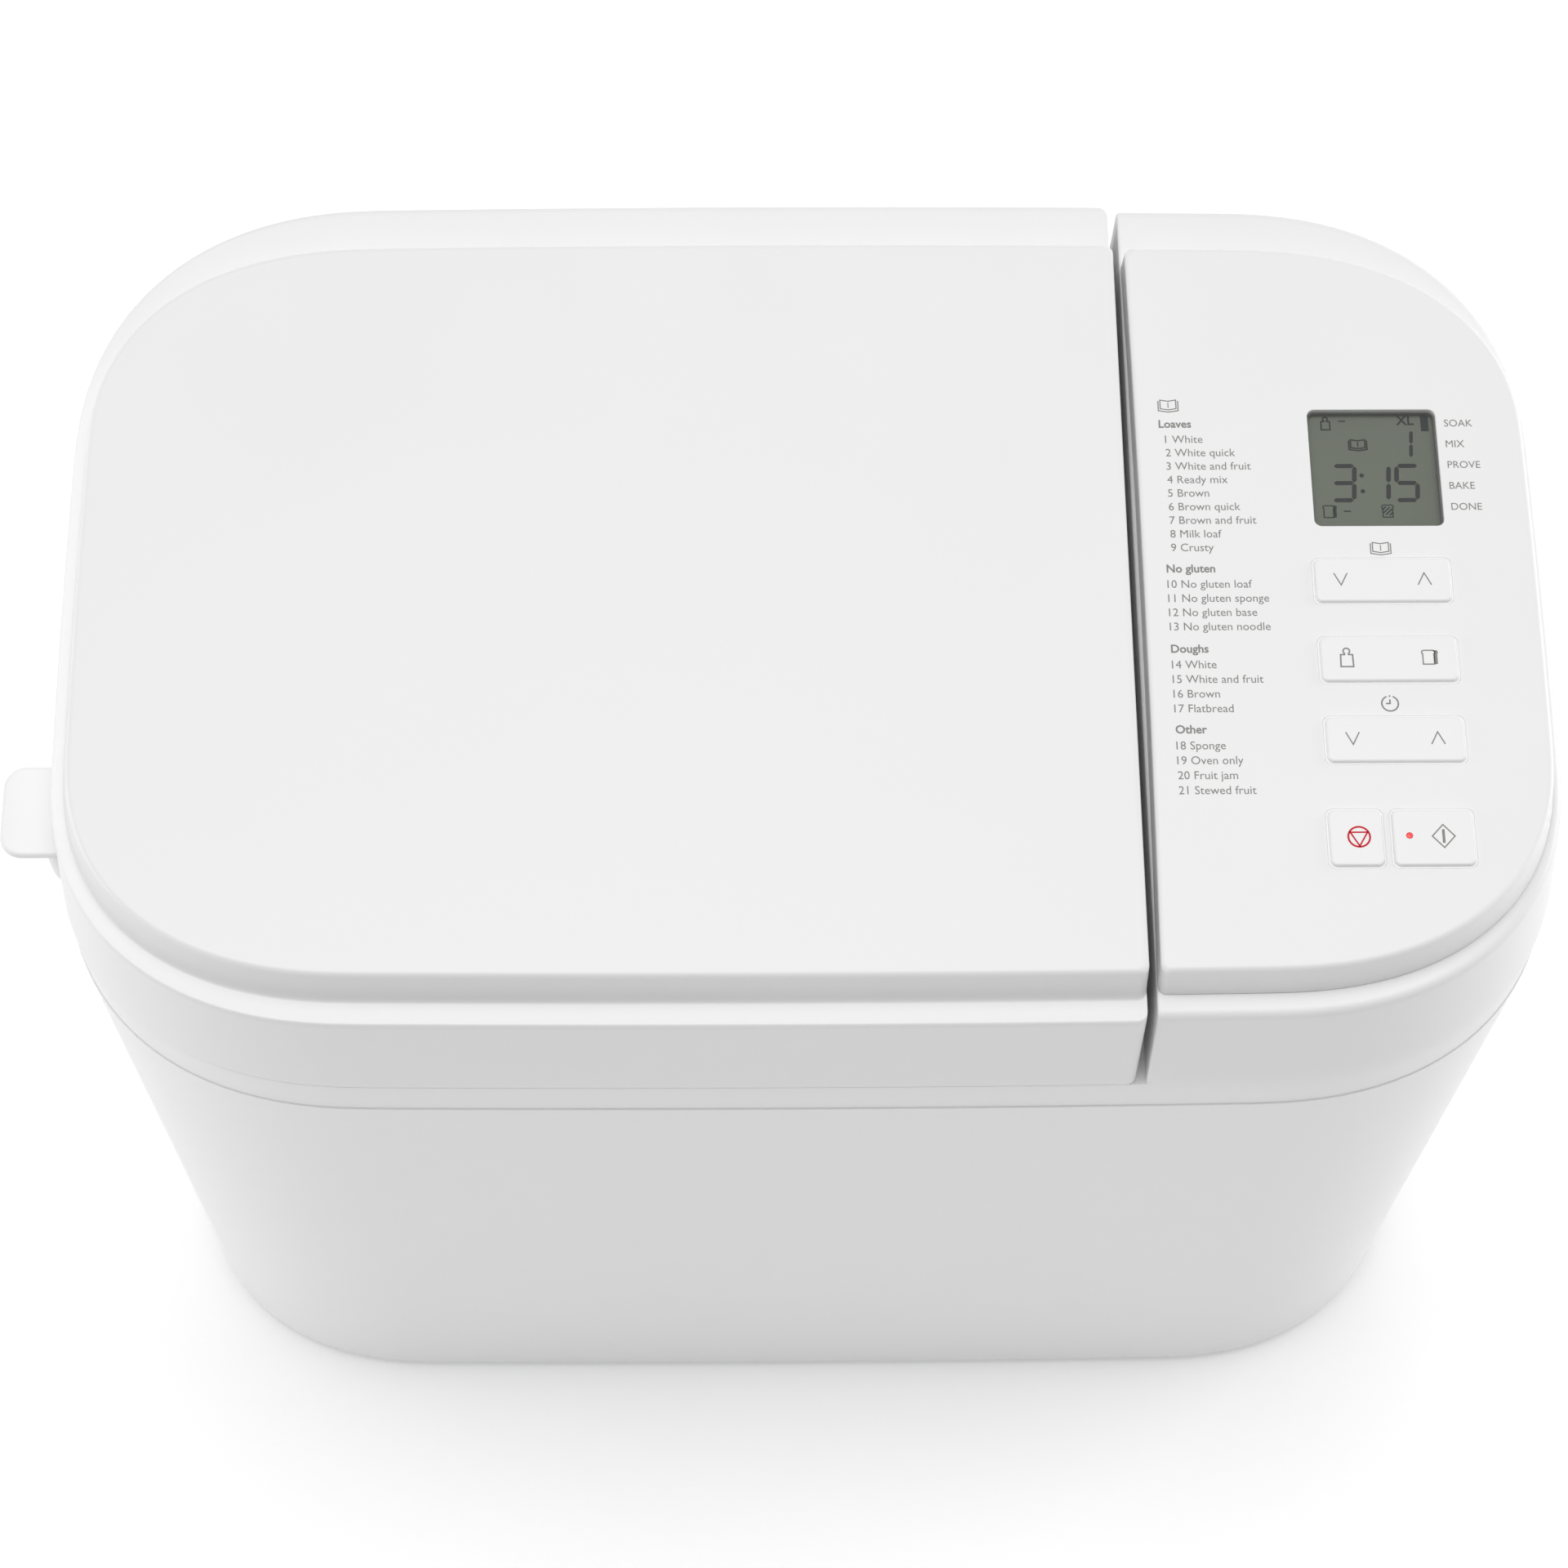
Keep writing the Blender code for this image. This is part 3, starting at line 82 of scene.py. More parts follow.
class NodeSheet:
    """A material's node tree, with short ways to add and join nodes."""

    def __init__(self, name: str) -> None:
        """Start a material with one Principled shader.

        Args:
            name: the material's name.
        """
        self.made = bpy.data.materials.new(name)
        self.made.use_nodes = True
        self.tree = self.made.node_tree
        self.shader = self.tree.nodes["Principled BSDF"]
        self.place = self.add("ShaderNodeTexCoord").outputs["Object"]

    def add(self, kind: str, **settings: object) -> bpy.types.Node:
        """Add a node and set its properties.

        Args:
            kind: the node's type name.
            **settings: properties of the node.

        Returns:
            The new node.
        """
        node = self.tree.nodes.new(kind)
        for name, value in settings.items():
            setattr(node, name, value)
        return node

    def join(self, source: bpy.types.NodeSocket, target: bpy.types.NodeSocket) -> None:
        """Link one socket to another."""
        self.tree.links.new(source, target)

    def noise(self, scale: float, detail: float = 2.0, stretch: Point = (1, 1, 1)) -> bpy.types.NodeSocket:
        """Add a noise texture in object space.

        Args:
            scale: how many features to a metre.
            detail: the number of finer layers.
            stretch: how much each axis is squeezed.

        Returns:
            The noise's value socket.
        """
        mapping = self.add("ShaderNodeMapping")
        self.feed(mapping, Scale=stretch)
        self.join(self.place, mapping.inputs["Vector"])
        texture = self.add("ShaderNodeTexNoise")
        self.feed(texture, Scale=scale, Detail=detail)
        self.join(mapping.outputs["Vector"], texture.inputs["Vector"])
        return texture.outputs["Fac"]

    def spread(self, value: bpy.types.NodeSocket, low: float, high: float) -> bpy.types.NodeSocket:
        """Map a value from its middle range to low..high.

        Args:
            value: the socket to map.
            low: the result at 0.3.
            high: the result at 0.7.

        Returns:
            The mapped value's socket.
        """
        node = self.add("ShaderNodeMapRange")
        self.feed(node, From_Min=0.3, From_Max=0.7, To_Min=low, To_Max=high)
        self.join(value, node.inputs["Value"])
        return node.outputs["Result"]

    def tones(
        self, value: bpy.types.NodeSocket, first: Point, last: Point, at: Spot = (0.35, 0.65)
    ) -> bpy.types.NodeSocket:
        """Blend between two colours by a value.

        Args:
            value: the socket that chooses.
            first: the colour of low values.
            last: the colour of high values.
            at: the values where the blend begins and ends.

        Returns:
            The colour socket.
        """
        ramp = self.add("ShaderNodeValToRGB")
        low, high = ramp.color_ramp.elements
        low.position, high.position = at
        low.color, high.color = (*first, 1), (*last, 1)
        self.join(value, ramp.inputs["Fac"])
        return ramp.outputs["Color"]

    def bump(self, height: bpy.types.NodeSocket, depth_mm: float, strength: float = 1.0) -> None:
        """Give the shader a bumpy normal.

        Args:
            height: the relief's socket.
            depth_mm: the relief's depth.
            strength: how much of it shows.
        """
        node = self.add("ShaderNodeBump")
        self.feed(node, Distance=depth_mm * MM, Strength=strength)
        self.join(height, node.inputs["Height"])
        self.join(node.outputs["Normal"], self.shader.inputs["Normal"])

    def feed(self, node: bpy.types.Node, **values: float | Sequence[float]) -> None:
        """Set constants on a node's sockets, with _ for a space in their names."""
        for name, value in values.items():
            node.inputs[name.replace("_", " ")].default_value = value

    def fix(self, **values: float | Sequence[float]) -> None:
        """Set constants on the shader's own sockets."""
        self.feed(self.shader, **values)


def shade(colour: Point, factor: float) -> Point:
    """Scale a colour.

    Args:
        colour: red, green and blue.
        factor: what each is multiplied by.

    Returns:
        The scaled colour.
    """
    return tuple(min(1.0, value * factor) for value in colour)


@dataclass(frozen=True)
class Finish:
    """A surface finish: its name, its main colour and its sheen."""

    name: str
    colour: Point
    roughness: float
    slot: str

    def dress(self, sheet: NodeSheet) -> None:
        """Add this finish's own nodes."""
        raise NotImplementedError

    def material(self) -> bpy.types.Material:
        """Find or make the material.

        Returns:
            The one material of this finish.
        """
        known = bpy.data.materials.get(self.name + "_finish")
        if known:
            return known
        sheet = NodeSheet(self.name + "_finish")
        self.dress(sheet)
        return sheet.made

    def tone(self, sheet: NodeSheet, amount: float, scale: float, stretch: Point = (1, 1, 1)) -> None:
        """Vary the main colour and the roughness slowly over the piece.

        Args:
            sheet: the material's nodes.
            amount: how far the tone swings, as a fraction.
            scale: features to a metre.
            stretch: how much each axis is squeezed.
        """
        value = sheet.noise(scale, 3.0, stretch)
        colours = sheet.tones(value, shade(self.colour, 1 - amount), shade(self.colour, 1 + amount))
        sheet.join(colours, sheet.shader.inputs["Base Color"])
        self.sheen(sheet, value, 0.08)

    def sheen(self, sheet: NodeSheet, value: bpy.types.NodeSocket, swing: float) -> None:
        """Vary the roughness by a value.

        Args:
            sheet: the material's nodes.
            value: the socket that it follows.
            swing: how far it goes to each side, as a fraction.
        """
        rough = sheet.spread(value, self.roughness * (1 - swing), self.roughness * (1 + swing))
        sheet.join(rough, sheet.shader.inputs["Roughness"])


@dataclass(frozen=True)
class Moulding(Finish):
    """Moulded plastic with a fine spark texture."""

    grain: float = 1500.0
    relief_mm: float = 0.012

    def dress(self, sheet: NodeSheet) -> None:
        """Slow tone drift and a fine moulded grain."""
        self.tone(sheet, 0.008, 14.0)
        sheet.bump(sheet.noise(self.grain, 3.0), self.relief_mm, 0.35)
        sheet.fix(IOR=1.47)


@dataclass(frozen=True)
class Metal(Finish):
    """Metal with a drawn or turned grain along one axis."""

    stretch: Point = (1.0, 30.0, 30.0)
    relief_mm: float = 0.004

    def dress(self, sheet: NodeSheet) -> None:
        """Streaked tone and fine scratches."""
        self.tone(sheet, 0.07, 40.0, self.stretch)
        sheet.bump(sheet.noise(120.0, 4.0, self.stretch), self.relief_mm, 0.5)
        sheet.fix(Metallic=1.0)


@dataclass(frozen=True)
class NonStick(Finish):
    """Dark non-stick coating with pale specks in it."""

    def dress(self, sheet: NodeSheet) -> None:
        """Specks from fine cells, over an orange-peel surface."""
        cells = sheet.add("ShaderNodeTexVoronoi")
        sheet.feed(cells, Scale=900.0)
        sheet.join(sheet.place, cells.inputs["Vector"])
        specks = sheet.tones(cells.outputs["Distance"], shade(self.colour, 2.6), self.colour, (0.10, 0.17))
        sheet.join(specks, sheet.shader.inputs["Base Color"])
        self.sheen(sheet, sheet.noise(60.0), 0.15)
        sheet.bump(sheet.noise(700.0), 0.02, 0.4)
        sheet.fix(Metallic=0.15, Coat_Weight=0.15, Coat_Roughness=0.3)


@dataclass(frozen=True)
class Rubber(Finish):
    """Matt black rubber, a little dusty."""

    def dress(self, sheet: NodeSheet) -> None:
        """Soft tone drift and a fine grain."""
        self.tone(sheet, 0.25, 90.0)
        sheet.bump(sheet.noise(2200.0), 0.03, 0.5)
        sheet.fix(IOR=1.5)


@dataclass(frozen=True)
class Board(Finish):
    """A circuit board with tracks under green lacquer."""

    def dress(self, sheet: NodeSheet) -> None:
        """Tracks from a brick pattern, a little lighter and raised."""
        bricks = sheet.add("ShaderNodeTexBrick", offset=0.5, squash=0.6)
        dark, pale = shade(self.colour, 0.8), shade(self.colour, 1.9)
        sheet.feed(bricks, Scale=130.0, Mortar_Size=0.06)
        sheet.feed(bricks, Color1=(*self.colour, 1), Color2=(*dark, 1), Mortar=(*pale, 1))
        sheet.join(sheet.place, bricks.inputs["Vector"])
        sheet.join(bricks.outputs["Color"], sheet.shader.inputs["Base Color"])
        sheet.bump(bricks.outputs["Fac"], 0.05, 0.4)
        self.sheen(sheet, sheet.noise(200.0), 0.1)


@dataclass(frozen=True)
class Window(Finish):
    """A clear, thin cover that shows what lies under it."""

    see_through: float = 0.03

    def dress(self, sheet: NodeSheet) -> None:
        """Faint wiping marks in a glossy, mostly clear skin."""
        self.tone(sheet, 0.03, 60.0)
        sheet.fix(Alpha=self.see_through, IOR=1.45)


@dataclass(frozen=True)
class LiquidCrystal(Finish):
    """A reflective display's grey-green field, in the shade of its recess at the right and the back."""

    right: float = 1.0
    back: float = 1.0
    shade_width: Spot = (0.0024, 0.0012)
    deepest: float = 0.7

    def dress(self, sheet: NodeSheet) -> None:
        """A slow drift of tone, the soft shade along two sides, and the cell's fine dots."""
        self.tone(sheet, 0.04, 45.0)
        parts = sheet.add("ShaderNodeSeparateXYZ")
        sheet.join(sheet.place, parts.inputs["Vector"])
        plain = sheet.shader.inputs["Base Color"].links[0].from_socket
        for axis, edge, width in zip("XY", (self.right, self.back), self.shade_width):
            fade = sheet.add("ShaderNodeMapRange", interpolation_type="SMOOTHSTEP")
            sheet.feed(fade, From_Min=edge - width, From_Max=edge, To_Min=1.0, To_Max=self.deepest)
            sheet.join(parts.outputs[axis], fade.inputs["Value"])
            dim = sheet.add("ShaderNodeVectorMath", operation="SCALE")
            sheet.join(plain, dim.inputs["Vector"])
            sheet.join(fade.outputs["Result"], dim.inputs["Scale"])
            plain = dim.outputs["Vector"]
        sheet.join(plain, sheet.shader.inputs["Base Color"])
        sheet.bump(sheet.noise(3000.0), 0.01, 0.2)


@dataclass(frozen=True)
class Ink(Finish):
    """Screen-printed ink."""

    def dress(self, sheet: NodeSheet) -> None:
        """Slight unevenness, as printed ink has, and little shine."""
        self.tone(sheet, 0.04, 700.0)
        sheet.fix(Specular_IOR_Level=0.2)


@dataclass(frozen=True)
class Lens(Finish):
    """A tinted lamp lens."""

    glow: float = 0.4

    def dress(self, sheet: NodeSheet) -> None:
        """Tinted plastic with a little light of its own."""
        self.tone(sheet, 0.05, 900.0)
        sheet.fix(Emission_Color=(*self.colour, 1), Emission_Strength=self.glow)


@dataclass(frozen=True)
class Paper(Finish):
    """Matt white background paper that gives back a little of its own light."""

    glow: float = 0.0

    def dress(self, sheet: NodeSheet) -> None:
        """Fine fibres and a faint, even glow."""
        self.tone(sheet, 0.004, 6.0)
        sheet.bump(sheet.noise(400.0, 4.0), 0.02, 0.3)
        sheet.fix(Emission_Color=(1.0, 1.0, 1.0, 1), Emission_Strength=self.glow)


CASING_WHITE = Moulding("casing_white", (0.86, 0.86, 0.86), 0.40, "casing_white")
PANEL_WHITE = Moulding("panel_white", (0.87, 0.87, 0.87), 0.42, "panel_white", 2200.0, 0.008)
KEY_WHITE = Moulding("key_white", (0.885, 0.885, 0.885), 0.38, "panel_white", 2200.0, 0.008)
GREY_PLASTIC = Moulding("grey_plastic", (0.30, 0.31, 0.32), 0.50, "grey_plastic", 900.0, 0.03)
STEEL = Metal("steel", (0.60, 0.60, 0.61), 0.30, "steel", (30.0, 30.0, 1.0))
WIRE_STEEL = Metal("wire_steel", (0.66, 0.66, 0.67), 0.22, "steel", (1.0, 1.0, 1.0), 0.002)
HEATER_STEEL = Metal("heater_steel", (0.34, 0.33, 0.32), 0.42, "steel", (1.0, 1.0, 1.0), 0.01)
LINER_SHEET = Metal("liner_sheet", (0.58, 0.59, 0.60), 0.36, "sheet_steel", (1.0, 1.0, 12.0))
LID_SHEET = Metal("lid_sheet", (0.60, 0.61, 0.62), 0.34, "sheet_steel", (1.0, 14.0, 14.0))
PAN_COAT = NonStick("pan_coat", (0.075, 0.075, 0.08), 0.42, "non_stick")
BLACK_RUBBER = Rubber("black_rubber", (0.025, 0.025, 0.025), 0.75, "black_rubber")
BOARD_GREEN = Board("board_green", (0.03, 0.16, 0.07), 0.45, "board_green")
CLEAR_WINDOW = Window("clear_window", (0.70, 0.73, 0.70), 0.10, "clear_window")
DISPLAY_FIELD = LiquidCrystal("display_field", (0.112, 0.129, 0.097), 0.55, "grey_plastic")
DISPLAY_WALL = Moulding("display_wall", (0.11, 0.112, 0.106), 0.5, "grey_plastic", 900.0, 0.01)
DISPLAY_INK = Ink("display_ink", (0.018, 0.02, 0.02), 0.5, "grey_plastic")
PRINT_GREY = Ink("print_grey", (0.26, 0.26, 0.25), 0.5, "panel_white")
PRINT_RED = Ink("print_red", (0.60, 0.012, 0.025), 0.5, "panel_white")
LAMP_RED = Lens("lamp_red", (0.92, 0.07, 0.08), 0.3, "red_lens", 0.1)
FLOOR_PAPER = Paper("floor_paper", (0.94, 0.94, 0.94), 0.9, "", 0.22)


# ---------------------------------------------------------------------------------------------
# Shapes
# ---------------------------------------------------------------------------------------------


@dataclass(frozen=True)
class Level:
    """One level of a moulding's profile: its height, its three outward offsets and its cut's inset."""

    z: float
    front: float
    side: float
    back: float
    cut: float = 0.0

    @staticmethod
    def even(z: float, out: float, cut: float = 0.0) -> Level:
        """A level with the same offset all round."""
        return Level(z, out, out, out, cut)

    def moved(self, dz: float, out: float, cut: float = 0.0) -> Level:
        """This level moved up by dz, out by out, and its cut in by cut."""
        return Level(self.z + dz, self.front + out, self.side + out, self.back + out, self.cut + cut)

    def toward(self, other: Level, reach: float) -> Level:
        """A level on the way to another one, at most half way.

        Args:
            other: the level to go toward.
            reach: how far, in millimetres.

        Returns:
            The level between.
        """
        mine, theirs = self.numbers(), other.numbers()
        length = max(math.hypot(theirs[0] - mine[0], theirs[i] - mine[i]) for i in (1, 2, 3, 4))
        part = min(0.5, reach / max(length, 1e-6))
        return Level(*(a + (b - a) * part for a, b in zip(mine, theirs)))

    def numbers(self) -> tuple[float, ...]:
        """The five values in order."""
        return self.z, self.front, self.side, self.back, self.cut


def soften(levels: Sequence[tuple[Level, float]], steps: int = 6) -> list[Level]:
    """Round the corners of a profile.

    Args:
        levels: each level with the radius of its rounding, 0 for a sharp one.
        steps: how many facets a rounding has.

    Returns:
        The profile with its roundings.
    """
    made: list[Level] = []
    last = len(levels) - 1
    for index, (level, radius) in enumerate(levels):
        if radius <= 0 or index in (0, last):
            made.append(level)
            continue
        start = level.toward(levels[index - 1][0], radius).numbers()
        end = level.toward(levels[index + 1][0], radius).numbers()
        for step in range(steps + 1):
            t = step / steps
            parts = zip(start, level.numbers(), end)
            made.append(Level(*(a * (1 - t) ** 2 + b * 2 * t * (1 - t) + c * t * t for a, b, c in parts)))
    return made


def quarter(centre: Spot, radii: Spot, start: int, steps: int, power: float = 2.0) -> list[Spot]:
    """Points of a quarter superellipse, anticlockwise.

    Args:
        centre: the middle of the full curve.
        radii: its half width and half depth.
        start: which quarter, 0 from +X to +Y.
        steps: the number of facets.
        power: 2 is an ellipse, more is squarer.

    Returns:
        steps + 1 points.
    """
    points = []
    for step in range(steps + 1):
        angle = math.pi / 2 * step / steps
        along = max(math.cos(angle), 0.0) ** (2 / power)
        across = max(math.sin(angle), 0.0) ** (2 / power)
        x, y = ((along, across), (-across, along), (-along, -across), (across, -along))[start]
        points.append((centre[0] + radii[0] * x, centre[1] + radii[1] * y))
    return points


def arc(centre: Spot, radii: Spot, count: int, start: float = 0.0, turn: float = 360.0) -> list[Spot]:
    """Points along an ellipse, anticlockwise.

    Args:
        centre: its middle.
        radii: its half width and half depth.
        count: how many steps the turn has.
        start: where it begins, in degrees from +X.
        turn: how far it goes round, in degrees. A full turn doesn't repeat its first point.

    Returns:
        The points.
    """
    points = count if turn >= 360 else count + 1
    angles = [math.radians(start + turn * step / count) for step in range(points)]
    return [(centre[0] + radii[0] * math.cos(a), centre[1] + radii[1] * math.sin(a)) for a in angles]


def between(first: Spot, last: Spot, count: int) -> list[Spot]:
    """Evenly spaced points strictly between two points."""
    steps = [(i + 1) / (count + 1) for i in range(count)]
    return [(first[0] + (last[0] - first[0]) * t, first[1] + (last[1] - first[1]) * t) for t in steps]


@dataclass(frozen=True)
class Plan:
    """The casing's plan at the lid's ledge: bowed sides with large squarish corners."""

    half_width: float = 194.7
    half_depth: float = 120.1
    bow_side: float = 2.3
    bow_front: float = 2.0
    bow_back: float = 2.3
    corner_x: float = 79.0
    corner_front: float = 71.0
    corner_back: float = 79.0
    power: float = 2.35
    cut_radius: float = 2.5
    corner_steps: int = 26
    cut_steps: int = 6
    long_points: int = 13
    short_points: int = 5

    def bowed(self, spot: Spot, left: bool, right: bool) -> Spot:
        """Move a point of the plan out by the bow of its side.

        Args:
            spot: a point of the straight-sided plan.
            left: whether the left side is bowed.
            right: whether the right side is bowed.

        Returns:
            The moved point.
        """
        x, y = spot
        level = max(0.0, 1 - (x / self.half_width) ** 2)
        end = max(0.0, 1 - (y / self.half_depth) ** 2)
        y += -self.bow_front * level if y < 0 else self.bow_back * level
        if left if x < 0 else right:
            x *= 1 + self.bow_side / self.half_width * end
        return x, y

    def ring(self, level: Level, left: float | None = None, right: float | None = None) -> Ring:
        """The plan's outline at a level.

        Args:
            level: the height and offsets.
            left: where a square cut takes the left side off, if one does.
            right: the same for the right side.

        Returns:
            The ring's points, anticlockwise from the front right.
        """
        x_low = -(self.half_width + level.side) if left is None else left + level.cut
        x_high = self.half_width + level.side if right is None else right - level.cut
        y_low, y_high = -(self.half_depth + level.front), self.half_depth + level.back
        corners = []
        for start, x, y, cut in (
            (3, x_high, y_low, right),
            (0, x_high, y_high, right),
            (1, x_low, y_high, left),
            (2, x_low, y_low, left),
        ):
            out = level.front if y < 0 else level.back
            depth = (self.corner_front if y < 0 else self.corner_back) + out
            radii = (self.corner_x + level.side, depth)
            steps, power = self.corner_steps, self.power
            if cut is not None:
                radii, steps, power = (self.cut_radius, self.cut_radius), self.cut_steps, 2.0
            right_side = start in (3, 0)
            centre = (x - radii[0] if right_side else x + radii[0], y - math.copysign(radii[1], y))
            corners.append(quarter(centre, radii, start, steps, power))
        spots: list[Spot] = []
        for index, corner in enumerate(corners):
            count = self.long_points if index % 2 else self.short_points
            spots += corner + between(corner[-1], corners[(index + 1) % 4][0], count)
        return [(*self.bowed(spot, left is None, right is None), level.z) for spot in spots]


def box_ring(z: float, size: Spot, radius: float, centre: Spot = (0, 0), steps: int = 8) -> Ring:
    """A rounded rectangle at a level.

    Args:
        z: its height.
        size: its width and depth.
        radius: its corner radius.
        centre: its middle.
        steps: facets to a corner.

    Returns:
        The ring's points, anticlockwise.
    """
    x, y = size[0] / 2 - radius, size[1] / 2 - radius
    spots: list[Spot] = []
    for dx, dy, start in ((x, -y, 3), (x, y, 0), (-x, y, 1), (-x, -y, 2)):
        spots += quarter((centre[0] + dx, centre[1] + dy), (radius, radius), start, steps)
    return [(*spot, z) for spot in spots]


@dataclass(frozen=True)
class BoxLevel:
    """One level of a rounded box: its height, how far its sides stand in, and its corner radius."""

    z: float
    inset: float
    radius: float


def box_rings(
    levels: Sequence[BoxLevel], size: Spot, centre: Spot = (0, 0), steps: int = 8
) -> list[Ring]:
    """The rings of a rounded box.

    Args:
        levels: its levels in order.
        size: its width and depth at inset 0.
        centre: its middle.
        steps: facets to a corner.

    Returns:
        One ring for each level.
    """
    rings = []
    for level in levels:
        inner = (size[0] - 2 * level.inset, size[1] - 2 * level.inset)
        rings.append(box_ring(level.z, inner, max(level.radius, 0.05), centre, steps))
    return rings


def rounded_profile(corners: Sequence[tuple[float, float, float]], steps: int = 5) -> list[Spot]:
    """A flat path whose corners are rounded.

    Args:
        corners: each corner's two coordinates and its rounding.
        steps: facets to a rounding.

    Returns:
        The path's points.
    """
    made: list[Spot] = []
    last = len(corners) - 1
    for index, (u, v, radius) in enumerate(corners):
        if radius <= 0 or index in (0, last):
            made.append((u, v))
            continue
        here = Vector((u, v))
        ends = []
        for other in (corners[index - 1], corners[index + 1]):
            way = Vector(other[:2]) - here
            ends.append(here + way.normalized() * min(radius, way.length / 2))
        for step in range(steps + 1):
            t = step / steps
            made.append(tuple(ends[0] * (1 - t) ** 2 + here * 2 * t * (1 - t) + ends[1] * t * t))
    return made


class Bench:
    """Where meshes are made in millimetres, joined, cut and turned into finished pieces."""

    def __init__(self) -> None:
        """Find the casing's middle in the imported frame."""
        low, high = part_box("lower_casing")
        plan = Plan()
        slack = (high[1] - low[1]) / MM - 2 * plan.half_depth - plan.bow_front - plan.bow_back
        self.middle = Vector(
            ((low[0] + high[0]) / 2, low[1] + (plan.half_depth + plan.bow_front + slack / 2) * MM, 0)
        )

    def mesh(self, name: str, bm: bmesh.types.BMesh) -> bpy.types.Object:
        """Turn a bmesh in millimetres into an object in metres.

        Args:
            name: the object's name.
            bm: the shape, which is freed.

        Returns:
            The object, linked to the scene.
        """
        bmesh.ops.recalc_face_normals(bm, faces=bm.faces)
        bmesh.ops.scale(bm, vec=(MM, MM, MM), verts=bm.verts)
        data = bpy.data.meshes.new(name)
        bm.to_mesh(data)
        bm.free()
        return placed(name, data)

    def loft(self, name: str, rings: Sequence[Ring], capped: bool = True) -> bpy.types.Object:
        """Skin a row of rings that have the same number of points.

        Args:
            name: the object's name.
            rings: the rings in order.
            capped: whether the ends are closed; if not, the last ring joins the first.

        Returns:
            The object.
        """
        bm = bmesh.new()
        made = [[bm.verts.new(point) for point in ring] for ring in rings]
        pairs = list(zip(made, made[1:])) + ([] if capped else [(made[-1], made[0])])
        count = len(made[0])
        for low, high in pairs:
            for i in range(count):
                j = (i + 1) % count
                bm.faces.new((low[i], low[j], high[j], high[i]))
        if capped:
            bm.faces.new(made[0])
            bm.faces.new(made[-1])
        return self.mesh(name, bm)

    def turned(
        self, name: str, profile: Sequence[Spot], spot: Spot, steps: int = 48, ring: bool = False
    ) -> bpy.types.Object:
        """Turn a profile about an upright axis.

        Args:
            name: the object's name.
            profile: points of (radius, z).
            spot: the axis's x and y.
            steps: facets round the axis.
            ring: whether the profile closes on itself, for a piece with a bore.

        Returns:
            The object.
        """
        rings = []
        for radius, z in profile:
            reach = max(radius, 0.02)
            rings.append([(*point, z) for point in arc(spot, (reach, reach), steps)])
        return self.loft(name, rings, capped=not ring)

    def bar(self, name: str, start: Point, end: Point, radius: float, sides: int = 24) -> bpy.types.Object:
        """A round bar between two points."""
        bm = bmesh.new()
        run = Vector(end) - Vector(start)
        bmesh.ops.create_cone(
            bm, cap_ends=True, segments=sides, radius1=radius, radius2=radius, depth=run.length
        )
        turn = Vector((0, 0, 1)).rotation_difference(run).to_matrix().to_4x4()
        middle = Matrix.Translation((Vector(start) + Vector(end)) / 2)
        bmesh.ops.transform(bm, matrix=middle @ turn, verts=bm.verts)
        return self.mesh(name, bm)

    def block(self, name: str, low: Point, high: Point) -> bpy.types.Object:
        """A box between two corners."""
        bm = bmesh.new()
        bmesh.ops.create_cube(bm, size=1)
        bmesh.ops.scale(bm, vec=Vector(high) - Vector(low), verts=bm.verts)
        bmesh.ops.translate(bm, vec=(Vector(high) + Vector(low)) / 2, verts=bm.verts)
        return self.mesh(name, bm)

    def tube(self, name: str, points: Sequence[Point], radius: float, sides: int) -> bpy.types.Object:
        """A round tube along an open path.

        Args:
            name: the object's name.
            points: the path.
            radius: the tube's radius.
            sides: facets round it.

        Returns:
            The object.
        """
        path = [Vector(point) for point in points]
        rings: list[Ring] = []
        normal = Vector((0, 0, 1))
        for before, here, after in zip([path[0], *path], path, [*path[1:], path[-1]]):
            way = (after - before).normalized()
            normal = (normal - way * normal.dot(way)).normalized()
            side = way.cross(normal)
            ring = []
            for i in range(sides):
                angle = 2 * math.pi * i / sides
                ring.append(tuple(here + (normal * math.cos(angle) + side * math.sin(angle)) * radius))
            rings.append(ring)
        return self.loft(name, rings)

    def combine(
        self, item: bpy.types.Object, other: bpy.types.Object, how: str = "DIFFERENCE"
    ) -> bpy.types.Object:
        """Cut or join with another object, which is used up.

        Args:
            item: the object that stays.
            other: the one that cuts or joins it.
            how: DIFFERENCE, UNION or INTERSECT.

        Returns:
            The first object.
        """
        step = item.modifiers.new(how, "BOOLEAN")
        step.operation, step.solver, step.object = how, "EXACT", other
        graph = bpy.context.evaluated_depsgraph_get()
        data = bpy.data.meshes.new_from_object(item.evaluated_get(graph))
        item.modifiers.clear()
        item.data = data
        bpy.data.objects.remove(other, do_unlink=True)
        return item

    def merge(self, name: str, items: Sequence[bpy.types.Object]) -> bpy.types.Object:
        """Put several separate shapes into one object.

        Args:
            name: the object's name.
            items: the shapes, which are used up.

        Returns:
            The object.
        """
        bm = bmesh.new()
        for item in items:
            bm.from_mesh(item.data)
            bpy.data.objects.remove(item, do_unlink=True)
        bmesh.ops.scale(bm, vec=(1 / MM, 1 / MM, 1 / MM), verts=bm.verts)
        return self.mesh(name, bm)

    def crease(self, item: bpy.types.Object, degrees: float = 32.0) -> None:
        """Shade smooth, with sharp edges kept where faces meet at more than an angle."""
        bm = bmesh.new()
        bm.from_mesh(item.data)
        limit = math.radians(degrees)
        for face in bm.faces:
            face.smooth = True
        for edge in bm.edges:
            edge.smooth = edge.calc_face_angle(math.pi) < limit
        bm.to_mesh(item.data)
        bm.free()
        normals = item.modifiers.new("even_shading", "WEIGHTED_NORMAL")
        normals.keep_sharp = True

